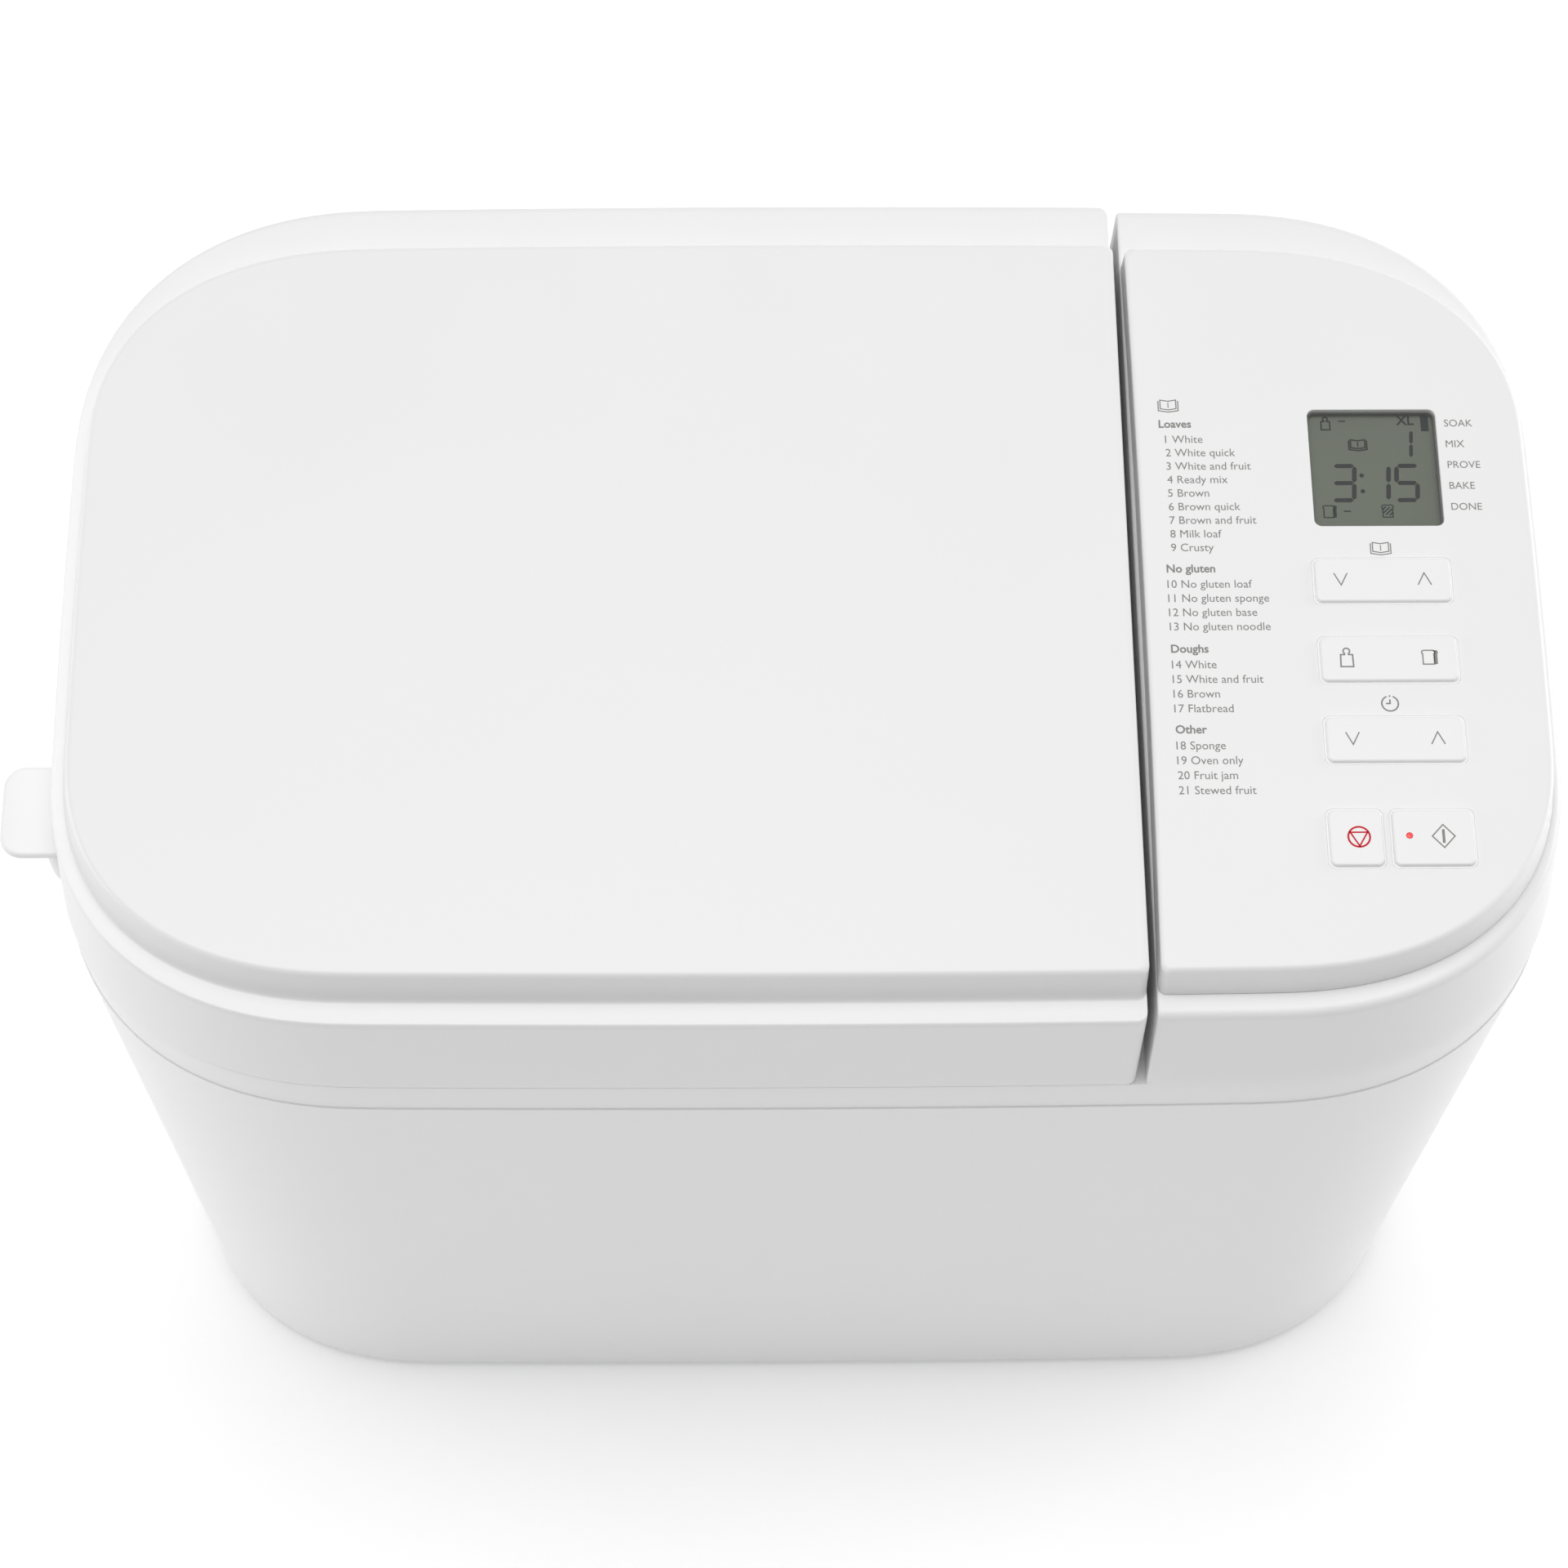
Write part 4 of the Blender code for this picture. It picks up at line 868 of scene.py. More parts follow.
    def finish_piece(
        self,
        item: bpy.types.Object,
        body: str,
        finish: Finish,
        stands_for: Sequence[str] = (),
        degrees: float = 32.0,
    ) -> bpy.types.Object:
        """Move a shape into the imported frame, dress it and tie it to its body.

        Args:
            item: the shape, in casing coordinates.
            body: the frame's body that it rides on.
            finish: its surface.
            stands_for: the frame's nodes that it replaces.
            degrees: the angle over which its edges stay sharp.

        Returns:
            The piece.
        """
        item.data.transform(Matrix.Translation(self.middle))
        self.crease(item, degrees)
        item.data.materials.clear()
        item.data.materials.append(finish.material())
        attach(item, body)
        if stands_for:
            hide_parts(*stands_for)
        LOG.info("%s: %d faces, rides on %s", item.name, len(item.data.polygons), body)
        return item

    def round_edges(
        self,
        item: bpy.types.Object,
        pick: Callable[[Vector, Vector, Vector], bool],
        width: float,
        segments: int = 4,
    ) -> None:
        """Round the edges that a test picks.

        Args:
            item: the object, in casing coordinates.
            pick: told an edge's middle in millimetres and its two faces' normals.
            width: the rounding's width in millimetres.
            segments: its facets.
        """
        bm = bmesh.new()
        bm.from_mesh(item.data)
        bmesh.ops.dissolve_degenerate(bm, dist=MERGED, edges=bm.edges)
        chosen = []
        for edge in bm.edges:
            if len(edge.link_faces) != 2:
                continue
            middle = (edge.verts[0].co + edge.verts[1].co) / (2 * MM)
            if pick(middle, edge.link_faces[0].normal, edge.link_faces[1].normal):
                chosen.append(edge)
        bmesh.ops.bevel(
            bm, geom=chosen, offset=width * MM, segments=segments, profile=0.5, affect="EDGES",
            clamp_overlap=True,
        )
        bm.to_mesh(item.data)
        bm.free()


# ---------------------------------------------------------------------------------------------
# Printed marks
# ---------------------------------------------------------------------------------------------


class Align(Enum):
    """Where a word's given spot lies along it."""

    LEFT = 0.0
    MIDDLE = 0.5


class Weight(Enum):
    """How heavy lettering is, as an outward offset of its outline."""

    LIGHT = 0.0
    BOLD = 0.022


@dataclass
class Print:
    """Marks printed on one flat surface, gathered and then made as one thin piece."""

    bench: Bench
    z: float
    thickness: float = 0.035
    sunk: float = 0.05
    squeeze: float = 0.97
    capital_share: float = 0.73
    marks: list[bpy.types.Object] = field(default_factory=list)

    def slab(self, outline: Sequence[Spot]) -> None:
        """Add a filled shape.

        Args:
            outline: its corners in order.
        """
        levels = (self.z - self.sunk, self.z + self.thickness)
        self.marks.append(self.bench.loft("mark", [[(x, y, z) for x, y in outline] for z in levels]))

    def block(self, low: Spot, high: Spot) -> None:
        """Add a filled rectangle between two corners."""
        self.slab([low, (high[0], low[1]), high, (low[0], high[1])])

    def line(self, path: Sequence[Spot], width: float, closed: bool = False) -> None:
        """Add a line of even width along a path.

        Args:
            path: its points.
            width: its width.
            closed: whether it returns to its start.
        """
        count = len(path)
        rings: list[Ring] = []
        for index in range(count):
            here = Vector(path[index])
            before = Vector(path[index - 1]) if index or closed else None
            after = Vector(path[(index + 1) % count]) if index < count - 1 or closed else None
            ways = [(here - before).normalized()] if before else []
            ways += [(after - here).normalized()] if after else []
            way = sum(ways, Vector((0, 0))).normalized()
            lean = max(0.35, way.dot(ways[0]))
            side = Vector((-way.y, way.x)) * (width / 2 / lean)
            left, right = here + side, here - side
            low, high = self.z - self.sunk, self.z + self.thickness
            rings.append([(*left, high), (*right, high), (*right, low), (*left, low)])
        self.marks.append(self.bench.loft("mark", rings, capped=not closed))

    def round_line(
        self, spot: Spot, radius: float, width: float, start: float = 0, turn: float = 360
    ) -> None:
        """Add a ring or part of one.

        Args:
            spot: its middle.
            radius: its radius.
            width: the line's width.
            start: where it begins, in degrees from +X.
            turn: how far it goes round.
        """
        self.line(arc(spot, (radius, radius), int(turn / 10), start, turn), width, closed=turn >= 360)

    def dot(self, spot: Spot, radius: float, sides: int = 20) -> None:
        """Add a filled circle."""
        self.slab(arc(spot, (radius, radius), sides))

    def words(
        self,
        text: str,
        spot: Spot,
        cap: float,
        align: Align = Align.LEFT,
        weight: Weight = Weight.LIGHT,
    ) -> None:
        """Add lettering in the plain built-in face.

        Args:
            text: what it says.
            spot: the left end, or the middle, of its base line.
            cap: its capital height.
            align: which of the two the spot is.
            weight: how heavy it is.
        """
        curve = bpy.data.curves.new("words", "FONT")
        curve.body = text
        curve.size = cap * MM / self.capital_share
        curve.offset = weight.value * curve.size
        curve.extrude = self.thickness * MM
        curve.resolution_u = 3
        guide = placed("words", curve)
        graph = bpy.context.evaluated_depsgraph_get()
        graph.update()
        data = bpy.data.meshes.new_from_object(guide.evaluated_get(graph))
        bpy.data.objects.remove(guide, do_unlink=True)
        bpy.data.curves.remove(curve)
        span = [vertex.co.x for vertex in data.vertices]
        start = min(span) + (max(span) - min(span)) * align.value
        fit = Matrix.Diagonal((self.squeeze, 1, 1, 1)) @ Matrix.Translation((-start, 0, 0))
        data.transform(Matrix.Translation(Vector((spot[0], spot[1], self.z)) * MM) @ fit)
        self.marks.append(placed("words", data))

    def book(self, spot: Spot, width: float, line: float) -> None:
        """Add an open book."""
        x, y = spot
        half, tall, dip = width * 0.4, width * 0.30, width * 0.07
        page = [(half, tall), (0, tall - dip), (-half, tall)]
        page += [(-half, dip * 1.4 - tall), (0, dip * 0.4 - tall), (half, dip * 1.4 - tall)]
        cover = [(0.5, 0.25), (0.5, -0.32), (0, -0.40), (-0.5, -0.32), (-0.5, 0.25)]
        self.line([(x + u, y + v) for u, v in page], line, closed=True)
        self.line([(x + u * width, y + v * width) for u, v in cover], line)
        self.line([(x, y + tall * 0.5), (x, y - tall * 0.55)], line * 0.8)

    def mass(self, spot: Spot, width: float, line: float) -> None:
        """Add a balance weight: a tapered block with an open ring on top."""
        x, y = spot
        low, shoulder, half = y - width * 0.78, y + width * 0.28, width / 2
        neck = width * 0.16
        path = [(x - neck, shoulder), (x - half * 0.94, shoulder), (x - half, low), (x + half, low)]
        path += [(x + half * 0.94, shoulder), (x + neck, shoulder)]
        ring = arc((x, shoulder + width * 0.30), (width * 0.26, width * 0.26), 12, -55, 290)
        self.line([*path, *ring], line, closed=True)

    def slice(
        self, spot: Spot, width: float, line: float, crust: bool = False, hatched: bool = False
    ) -> None:
        """Add a slice of bread.

        Args:
            spot: its middle.
            width: its width.
            line: the outline's width.
            crust: whether a dark end stands behind it at the right.
            hatched: whether slanted lines fill it.
        """
        x, y = spot
        half, high, low = width / 2, y + width * 0.58, y - width * 0.60
        inner, bulge = half * 0.86, width * 0.17
        outline: list[Spot] = [(x - inner, low), (x + inner, low), (x + inner, high - 2 * bulge)]
        for start, centre in ((-60, x + half - bulge), (90, x - half + bulge)):
            outline += arc((centre, high - bulge), (bulge, bulge), 6, start, 150)
        outline.append((x - inner, high - 2 * bulge))
        self.line(outline, line, closed=True)
        if crust:
            deep = width * 0.26
            self.slab([
                (x + inner, low), (x + inner + deep, low), (x + inner + deep, high - 2 * bulge),
                (x + half + deep, high - bulge), (x + half + deep * 0.7, high), (x + half - bulge, high),
                (x + half, high - bulge), (x + inner, high - 2 * bulge),
            ])
        if hatched:
            for step in range(4):
                shift = (step - 1.5) * width * 0.27
                reach = width * 0.34 - abs(shift) * 0.5
                middle = (x + shift * 0.7, y - shift * 0.7)
                ends = ((middle[0] - reach, middle[1] - reach), (middle[0] + reach, middle[1] + reach))
                self.line(ends, line * 1.2)

    def chevron(self, spot: Spot, up: bool, line: float) -> None:
        """Add an open arrow head that points up or down."""
        x, y = spot
        way = 1 if up else -1
        self.line([(x - 1.75, y - 1.75 * way), (x, y + 1.75 * way), (x + 1.75, y - 1.75 * way)], line)

    def clock(self, spot: Spot, radius: float, line: float) -> None:
        """Add a clock face with two hands and a gap at the top."""
        x, y = spot
        self.round_line(spot, radius, line, start=112, turn=316)
        self.line([(x, y + radius * 0.55), (x, y), (x - radius * 0.5, y)], line)
        self.dot((x, y + radius), line * 0.6)

    def digit(self, value: str, spot: Spot, height: float, slant: float = 0.07) -> None:
        """Add a seven-segment digit.

        Args:
            value: the digit.
            spot: its lower left corner.
            height: its height.
            slant: how far its top leans right, as a share of its height.
        """
        lit = {"1": "bc", "3": "abgcd", "5": "afgcd"}[value]
        width, thick, gap = height * 0.54, height * 0.12, height * 0.012
        half = height / 2
        bars = {
            "a": ((0, height), (width, height)), "d": ((0, 0), (width, 0)),
            "g": ((0, half), (width, half)), "b": ((width, half), (width, height)),
            "c": ((width, 0), (width, half)), "f": ((0, half), (0, height)),
        }
        for name in lit:
            start, end = (Vector(point) for point in bars[name])
            way = (end - start).normalized()
            side = Vector((-way.y, way.x)) * thick / 2
            tip, heel = way * gap, way * (thick / 2 + gap)
            corners = [
                start + tip, start + heel - side, end - heel - side, end - tip, end - heel + side,
                start + heel + side,
            ]
            self.slab([(spot[0] + c.x + c.y * slant, spot[1] + c.y) for c in corners])

    def make(self, name: str, body: str, finish: Finish) -> bpy.types.Object:
        """Join the marks into one piece.

        Args:
            name: the piece's name.
            body: the body that it rides on.
            finish: its ink.

        Returns:
            The piece.
        """
        return self.bench.finish_piece(self.bench.merge(name, self.marks), body, finish)


# ---------------------------------------------------------------------------------------------
# Sub-assemblies
# ---------------------------------------------------------------------------------------------


@dataclass(frozen=True)
class Heights:
    """Levels of the casing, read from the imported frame, in millimetres."""

    plateau: float
    ledge: float
    panel_foot: float
    skirt: float
    seam: float
    foot: float
    control_left: float
    lid_right: float

    @staticmethod
    def read(bench: Bench) -> Heights:
        """Read the levels.

        Args:
            bench: knows where the casing's middle is.

        Returns:
            The levels.
        """
        lid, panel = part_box("lid_shell"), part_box("control_panel")
        upper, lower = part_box("upper_casing"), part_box("lower_casing")
        heights = (lid[1].z, upper[1].z, panel[0].z, lid[0].z, upper[0].z, lower[0].z)
        sides = (panel[0].x - bench.middle.x, lid[1].x - bench.middle.x)
        return Heights(*(value / MM for value in (*heights, *sides)))


def dress_nodes(finish: Finish, names: Iterable[str]) -> None:
    """Give the frame's own nodes a finish.

    Args:
        finish: the surface.
        names: the nodes.
    """
    for name in names:
        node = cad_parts[name]
        if node.material_slots:
            for place in node.material_slots:
                place.material = finish.material()
        else:
            node.data.materials.append(finish.material())
        LOG.info("%s: frame node, %s", name, finish.name)


@dataclass
class Casing:
    """The outer shell: the tall lower casing, the rim with the control housing, and the feet."""

    bench: Bench
    at: Heights
    plan: Plan = field(default_factory=Plan)
    wall: float = WALL
    seam_out: float = 2.75
    rim_out: float = 2.9
    lower_out: float = 3.15
    seam_gap: float = 0.04
    foot_out: float = -5.2
    control_out: float = -1.5
    deck_drop: float = 0.5
    panel_step: tuple[float, float, float] = (-7.6, -3.8, -18.7)
    chamber: tuple[float, float] = (244.0, 194.0)
    chamber_radius: float = 30.0
    base_ledge: tuple[float, float, float] = (6.0, 8.5, 11.0)
    base_ledge_width: float = 7.5
    lining_ease: float = 0.35
    face_ease: float = 0.9
    rim_ease: float = 0.5
    axis_x: float = AXIS_X
    hinge_x: tuple[float, float] = (-108.0, 42.0)
    hinge_y: float = 129.6
    hinge_z: float = 284.0
    knuckle: float = 3.6
    knuckle_width: float = 12.0
    ear_width: float = 4.0
    hinge_gap: float = 0.3
    ear_foot: float = 262.0
    post_foot: float = 268.0
    pin_bore: float = 1.8
    bush_bore: float = 9.3
    inlet: tuple[float, float, float] = (95.0, 121.2, 34.0)

    def rings(self, profile: Sequence[tuple[Level, float]], **cut: float) -> list[Ring]:
        """The rings of a softened profile."""
        return [self.plan.ring(level, **cut) for level in soften(profile)]

    def lower(self) -> None:
        """The tall shell below the seam."""
        top, low = self.at.seam - self.seam_gap, self.at.foot
        inner = self.foot_out - self.wall
        under, over, root = (low + height for height in self.base_ledge)
        lip = inner - self.base_ledge_width
        profile = [
            (Level.even(low, inner), 0), (Level.even(low, self.foot_out), 1.6),
            (Level.even(top, self.lower_out), 0.4), (Level.even(top, self.lower_out - self.wall), 0.4),
            (Level.even(root, inner), 0.4), (Level.even(over, lip), 0),
            (Level.even(under, lip), 0), (Level.even(under, inner), 0),
        ]
        shell = self.bench.loft("casing_lower", self.rings(profile), capped=False)
        x, y, z = self.inlet
        hole = self.bench.bar("cord_hole", (x, y - 30, z), (x, y + 20, z), self.bush_bore, 48)
        self.bench.combine(shell, hole)
        self.bench.finish_piece(shell, "housing", CASING_WHITE, ["lower_casing"])

    def upper(self) -> None:
        """The rim and deck under the lid, in one moulding with the control housing."""
        bench, at = self.bench, self.at
        deck = at.skirt - self.deck_drop
        profile = [
            (Level.even(at.seam, self.seam_out - 6), 0), (Level.even(at.seam, self.seam_out), 0),
            (Level.even(deck, self.rim_out), 4),
            (Level.even(at.ledge, self.control_out), 2.6), (Level.even(at.ledge, self.control_out - 12), 0),
        ]
        side, depth, height = BEYOND
        shell = bench.loft("casing_upper", self.rings(profile))
        space = ((-side, -depth, deck), (at.control_left, depth, height))
        bench.combine(shell, bench.block("lid_space", *space))
        self.soften_cut(shell, deck)
        lining = [
            (at.seam - 5, self.seam_out - self.wall + self.lining_ease),
            (at.ledge - self.wall, self.control_out - self.wall),
        ]
        inside = bench.loft("casing_inside", [self.plan.ring(Level.even(*pair)) for pair in lining])
        body = ((-side, -depth, deck - self.wall), (at.control_left + self.wall, depth, height))
        bench.combine(inside, bench.block("deck_body", *body))
        bench.combine(shell, inside)
        mouth = [BoxLevel(deck - 20, 0, self.chamber_radius), BoxLevel(deck + 20, 0, self.chamber_radius)]
        bench.combine(shell, bench.loft("mouth", box_rings(mouth, self.chamber, (self.axis_x, 0), 16)))
        opening = tuple(value - 2 * self.wall for value in self.panel_step)
        left = at.control_left + 2 * self.wall
        rings = [self.plan.ring(Level(z, *opening), left=left) for z in (300, 330)]
        bench.combine(shell, bench.loft("window", rings))
        offset = (self.knuckle_width + self.ear_width) / 2 + self.hinge_gap
        for x in self.hinge_x:
            for way in (-1, 1):
                self.ear(shell, x + way * offset, deck)
            bench.combine(shell, self.pin_hole(x, self.pin_bore))
        bench.finish_piece(shell, "housing", CASING_WHITE, ["upper_casing"])

    def soften_cut(self, shell: bpy.types.Object, deck: float) -> None:
        """Round the edges left where the lid's space is cut away.

        Args:
            shell: the rim and control housing.
            deck: the deck's height.
        """
        left = self.at.control_left

        def on_face(middle: Vector, first: Vector, second: Vector) -> bool:
            """Whether an edge borders the control housing's left face above the deck."""
            facing = min(first.x, second.x) < -0.99
            same = first.dot(second) > 0.9
            return facing and not same and abs(middle.x - left) < 0.1 and middle.z > deck + 0.2

        def on_rim(middle: Vector, first: Vector, second: Vector) -> bool:
            """Whether an edge is the deck's outer one."""
            up, side = max(first.z, second.z), min(first.z, second.z)
            return up > 0.99 and abs(side) < 0.5 and abs(middle.z - deck) < 0.1 and middle.x < left - 3

        self.bench.round_edges(shell, on_face, self.face_ease)
        self.bench.round_edges(shell, on_rim, self.rim_ease)

    def pin_hole(self, x: float, radius: float) -> bpy.types.Object:
        """A cutter for the hole of a hinge's pin."""
        y, z = self.hinge_y, self.hinge_z
        return self.bench.bar("bore", (x - BORE_REACH, y, z), (x + BORE_REACH, y, z), radius)

    def ear(self, shell: bpy.types.Object, x: float, deck: float) -> None:
        """One ear of a hinge, joined to the rim.

        Args:
            shell: the rim.
            x: the ear's middle.
            deck: the deck's height.
        """
        bench, low, high = self.bench, x - self.ear_width / 2, x + self.ear_width / 2
        y, z, r = self.hinge_y, self.hinge_z, self.knuckle
        ear = bench.block("ear", (low, self.plan.half_depth, self.ear_foot), (high, y + r, deck - 1))
        bench.combine(ear, bench.block("post", (low, y - r, self.post_foot), (high, y + r, z)), "UNION")
        bench.combine(ear, bench.bar("eye", (low, y, z), (high, y, z), r, 40), "UNION")
        bench.combine(shell, ear, "UNION")

    def feet(self) -> None:
        """Four rubber feet with a rounded, grooved sole."""
        for name in ("front_left", "rear_left", "front_right", "rear_right"):
            node = "foot_" + name
            low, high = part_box(node)
            middle = ((low + high) / 2 - self.bench.middle) / MM
            top = high.z / MM
            corners = [(0, top, 0), (10, top, 0.6), (10, 1.6, 1.6), (8.6, 0, 1.0), (6.6, 0, 0.4)]
            corners += [(6.2, 0.5, 0.3), (5.2, 0.5, 0.3), (4.8, 0, 0.3), (0, 0, 0)]
            profile = rounded_profile(corners)
            foot = self.bench.turned("rubber_foot_" + name, profile, (middle.x, middle.y))
            self.bench.finish_piece(foot, "housing", BLACK_RUBBER, [node])

    def cord_bush(self) -> None:
        """The bush in the back wall where a mains cord would enter."""
        x, y, z = self.inlet
        corners = [(4, -17, 0), (9, -17, 0.8), (9, -3, 0.4), (12, -3, 0.5), (12, 0, 1.6)]
        corners += [(7, 1.4, 1.2), (4, 1.4, 0.8), corners[0]]
        bush = self.bench.turned("inlet_bush", rounded_profile(corners)[:-1], (0, 0), ring=True)
        turn = Matrix.Rotation(math.radians(-90), 4, "X")
        bush.data.transform(Matrix.Translation(Vector((x, y, z)) * MM) @ turn)
        self.bench.finish_piece(bush, "housing", GREY_PLASTIC, ["cord_inlet"])

    def build(self) -> None:
        """Make every piece and dress the frame's own."""
        self.lower()
        self.upper()
        self.feet()
        self.cord_bush()
        dress_nodes(GREY_PLASTIC, ["base_plate"])
        screws = ["base_screw_" + name for name in ("front_left", "rear_left", "front_right", "rear_right")]
        dress_nodes(STEEL, ["hinge_pin_left", "hinge_pin_right", *screws])


@dataclass
class Lid:
    """The hinged lid: its shell with the lift tab, the domed liner and the seal."""

    bench: Bench
    at: Heights
    casing: Casing
    wall: float = WALL
    skirt_out: float = 3.0
    step: tuple[float, float, float] = (-7.0, -3.7, -17.7)
    top: tuple[float, float, float] = (-9.5, -5.3, -19.7)
    tab_z: float = 288.0
    tab_thick: float = 3.0
    tab_width: float = 26.0
    tab_end: float = -213.3
    tab_y: float = -50.5
    tab_corner: float = 6.0
    web_foot: tuple[tuple[float, float, float], ...] = ((0.0, 6.4, 15.6), (0.4, 6.9, 16.1), (1.0, 7.0, 16.2))
    web_head: tuple[float, float] = (9.0, 12.0)
    sheet: float = 1.0
    liner_lift: float = 5.8
    dome: tuple[float, float] = (234.0, 180.0)
    dome_top: float = 314.0
    seal_out: tuple[float, float] = (252.0, 202.0)
    pin_bore: float = 1.6

    def shell(self) -> None:
        """The outer moulding: skirt, ledge, step and plateau."""
        at, wall = self.at, self.wall
        top, step = Level(at.plateau, *self.top), Level(at.ledge, *self.step)
        profile = [
            (top.moved(0, -8, 8), 0), (top, 1.5), (step, 2.8), (Level.even(at.ledge, 0.0), 2.2),
            (Level.even(at.skirt, self.skirt_out), 0.4),
            (Level.even(at.skirt, self.skirt_out - wall, wall), 0.5),
            (Level.even(at.ledge - 1.2 * wall, -wall, wall), 1.0),
            (step.moved(-wall, -0.9 * wall, wall), 1.0), (top.moved(-wall, -wall, wall), 1.0),
            (top.moved(-wall, -wall - 8, wall + 8), 0),
        ]
        shell = self.bench.loft("lid_cover", self.casing.rings(profile, right=at.lid_right))
        self.bench.combine(shell, self.tab(), "UNION")
        self.knuckles(shell)
        self.bench.finish_piece(shell, "lid", CASING_WHITE, ["lid_shell"])

    def tab(self) -> bpy.types.Object:
        """The finger tab with the web under it."""
        bench, plan = self.bench, self.casing.plan
        root = -(plan.half_width + plan.bow_side) + 1
        width = 2 * (root - self.tab_end)
        low, high = self.tab_z - self.tab_thick, self.tab_z
        edge = [(low, 1.1), (low + 0.3, 0.45), (low + 0.8, 0.1), (low + 1.4, 0), (high - 1.4, 0)]
        edge += [(high - 0.8, 0.1), (high - 0.3, 0.45), (high, 1.1)]
        levels = [BoxLevel(z, inset, self.tab_corner - inset) for z, inset in edge]
        tab = bench.loft("tab", box_rings(levels, (width, self.tab_width), (root, self.tab_y), 14))
        foot, head = self.at.skirt + 1, self.tab_z - 1
        ovals = [(foot + rise, radii) for rise, *radii in self.web_foot] + [(head, self.web_head)]
        rings = [[(*spot, z) for spot in arc((root, self.tab_y), radii, 64)] for z, radii in ovals]
        web = bench.loft("web", rings)
        front, back = self.tab_y - 1.5 * self.tab_width, self.tab_y + 1.5 * self.tab_width
        for piece, right in ((tab, root), (web, root - 0.6)):
            keep = bench.block("keep", (self.tab_end - 5, front, 250), (right, back, 300))
            bench.combine(piece, keep, "INTERSECT")
        return bench.combine(tab, web, "UNION")

    def knuckles(self, shell: bpy.types.Object) -> None:
        """The two hinge knuckles, joined to the shell and bored.

        Args:
            shell: the lid's shell.
        """
        bench, casing = self.bench, self.casing
        y, z, half = casing.hinge_y, casing.hinge_z, casing.knuckle_width / 2
        for x in casing.hinge_x:
            knuckle = bench.bar("knuckle", (x - half, y, z), (x + half, y, z), casing.knuckle, 40)
            web = bench.block("web", (x - half, casing.plan.half_depth + 2.2, z - 2), (x + half, y, z + 3))
            bench.combine(knuckle, web, "UNION")
            bench.combine(shell, knuckle, "UNION")
            bench.combine(shell, casing.pin_hole(x, self.pin_bore))

    def liner(self) -> None:
        """The pressed sheet inside the lid, domed over the pan."""
        bench, at = self.bench, self.at
        level = at.skirt + self.liner_lift
        out = self.skirt_out * (at.ledge - level) / (at.ledge - at.skirt) - self.wall - 0.6
        right = at.lid_right - self.wall - 0.3
        flat = [Level.even(z, out) for z in (level, level + self.sheet)]
        liner = bench.loft("lid_lining", [self.casing.plan.ring(one, right=right) for one in flat])
        centre = (self.casing.axis_x, 0)
        outer = self.dome_levels(level + 0.5, self.dome_top, 0.0, 24.0)
        inner = [BoxLevel(level - 5, self.sheet, 23.0)]
        inner += self.dome_levels(level, self.dome_top - self.sheet, self.sheet, 23.0)
        bench.combine(liner, bench.loft("outside", box_rings(outer, self.dome, centre, 12)), "UNION")
        bench.combine(liner, bench.loft("inside", box_rings(inner, self.dome, centre, 12)))
        bench.finish_piece(liner, "lid", LID_SHEET, ["lid_liner"])

    def dome_levels(self, low: float, high: float, inset: float, radius: float) -> list[BoxLevel]:
        """The dome's levels: drafted walls and a rounded brow.

        Args:
            low: its foot.
            high: its top.
            inset: how far in its foot stands.
            radius: its corners' radius.

        Returns:
            The levels from the foot up.
        """
        path = rounded_profile([(low, 0, 0), (high, 4, 7.0), (high, 24, 0)], 8)
        return [BoxLevel(z, inset + more, max(4.0, radius - more * 0.8)) for z, more in path]

    def seal(self) -> None:
        """The rubber ring round the dome: a base with a rounded lip that meets the flange."""
        low, high = (value.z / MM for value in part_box("lid_seal"))
        path = rounded_profile([
            (high, 0.3, 0), (high, 0, 0.4), (low + 1.0, 0, 0.6), (low, 1.1, 0.5), (low, 2.3, 0.5),
            (low + 1.0, 3.4, 0.6), (high, 3.4, 0.4), (high, 3.1, 0),
        ], 4)
        levels = [BoxLevel(z, inset, 34 - inset) for z, inset in path]
        rings = box_rings(levels, self.seal_out, (self.casing.axis_x, 0), 14)
        seal = self.bench.loft("seal_ring", rings, capped=False)
        self.bench.finish_piece(seal, "lid", BLACK_RUBBER, ["lid_seal"])

    def build(self) -> None:
        """Make the lid's pieces."""
        self.shell()
        self.liner()
        self.seal()


@dataclass(frozen=True)
class Cap:
    """A key's place: its middle and its size in plan."""

    node: str
    x: float
    y: float
    width: float
    depth: float


ROCKERS = (
    Cap("menu_key", 150.5, -1.8, 36.8, 13.9),
    Cap("loaf_key", 150.5, -25.0, 36.8, 13.9),
    Cap("timer_key", 150.5, -48.1, 36.8, 13.9),
)
PUSHES = (Cap("stop_key", 138.4, -75.9, 14.8, 16.7), Cap("start_key", 158.2, -75.9, 21.8, 16.7))

PROGRAMMES = (
    ("Loaves", 45.9, 4.09, ("White", "White quick", "White and fruit", "Ready mix", "Brown", "Brown quick",
                            "Brown and fruit", "Milk loaf", "Crusty")),
    ("No gluten", 2.2, 4.17, ("No gluten loaf", "No gluten sponge", "No gluten base", "No gluten noodle")),
    ("Doughs", -21.4, 4.23, ("White", "White and fruit", "Brown", "Flatbread")),
    ("Other", -44.7, 4.23, ("Sponge", "Oven only", "Fruit jam", "Stewed fruit")),
)
STAGES = ("SOAK", "MIX", "PROVE", "BAKE", "DONE")


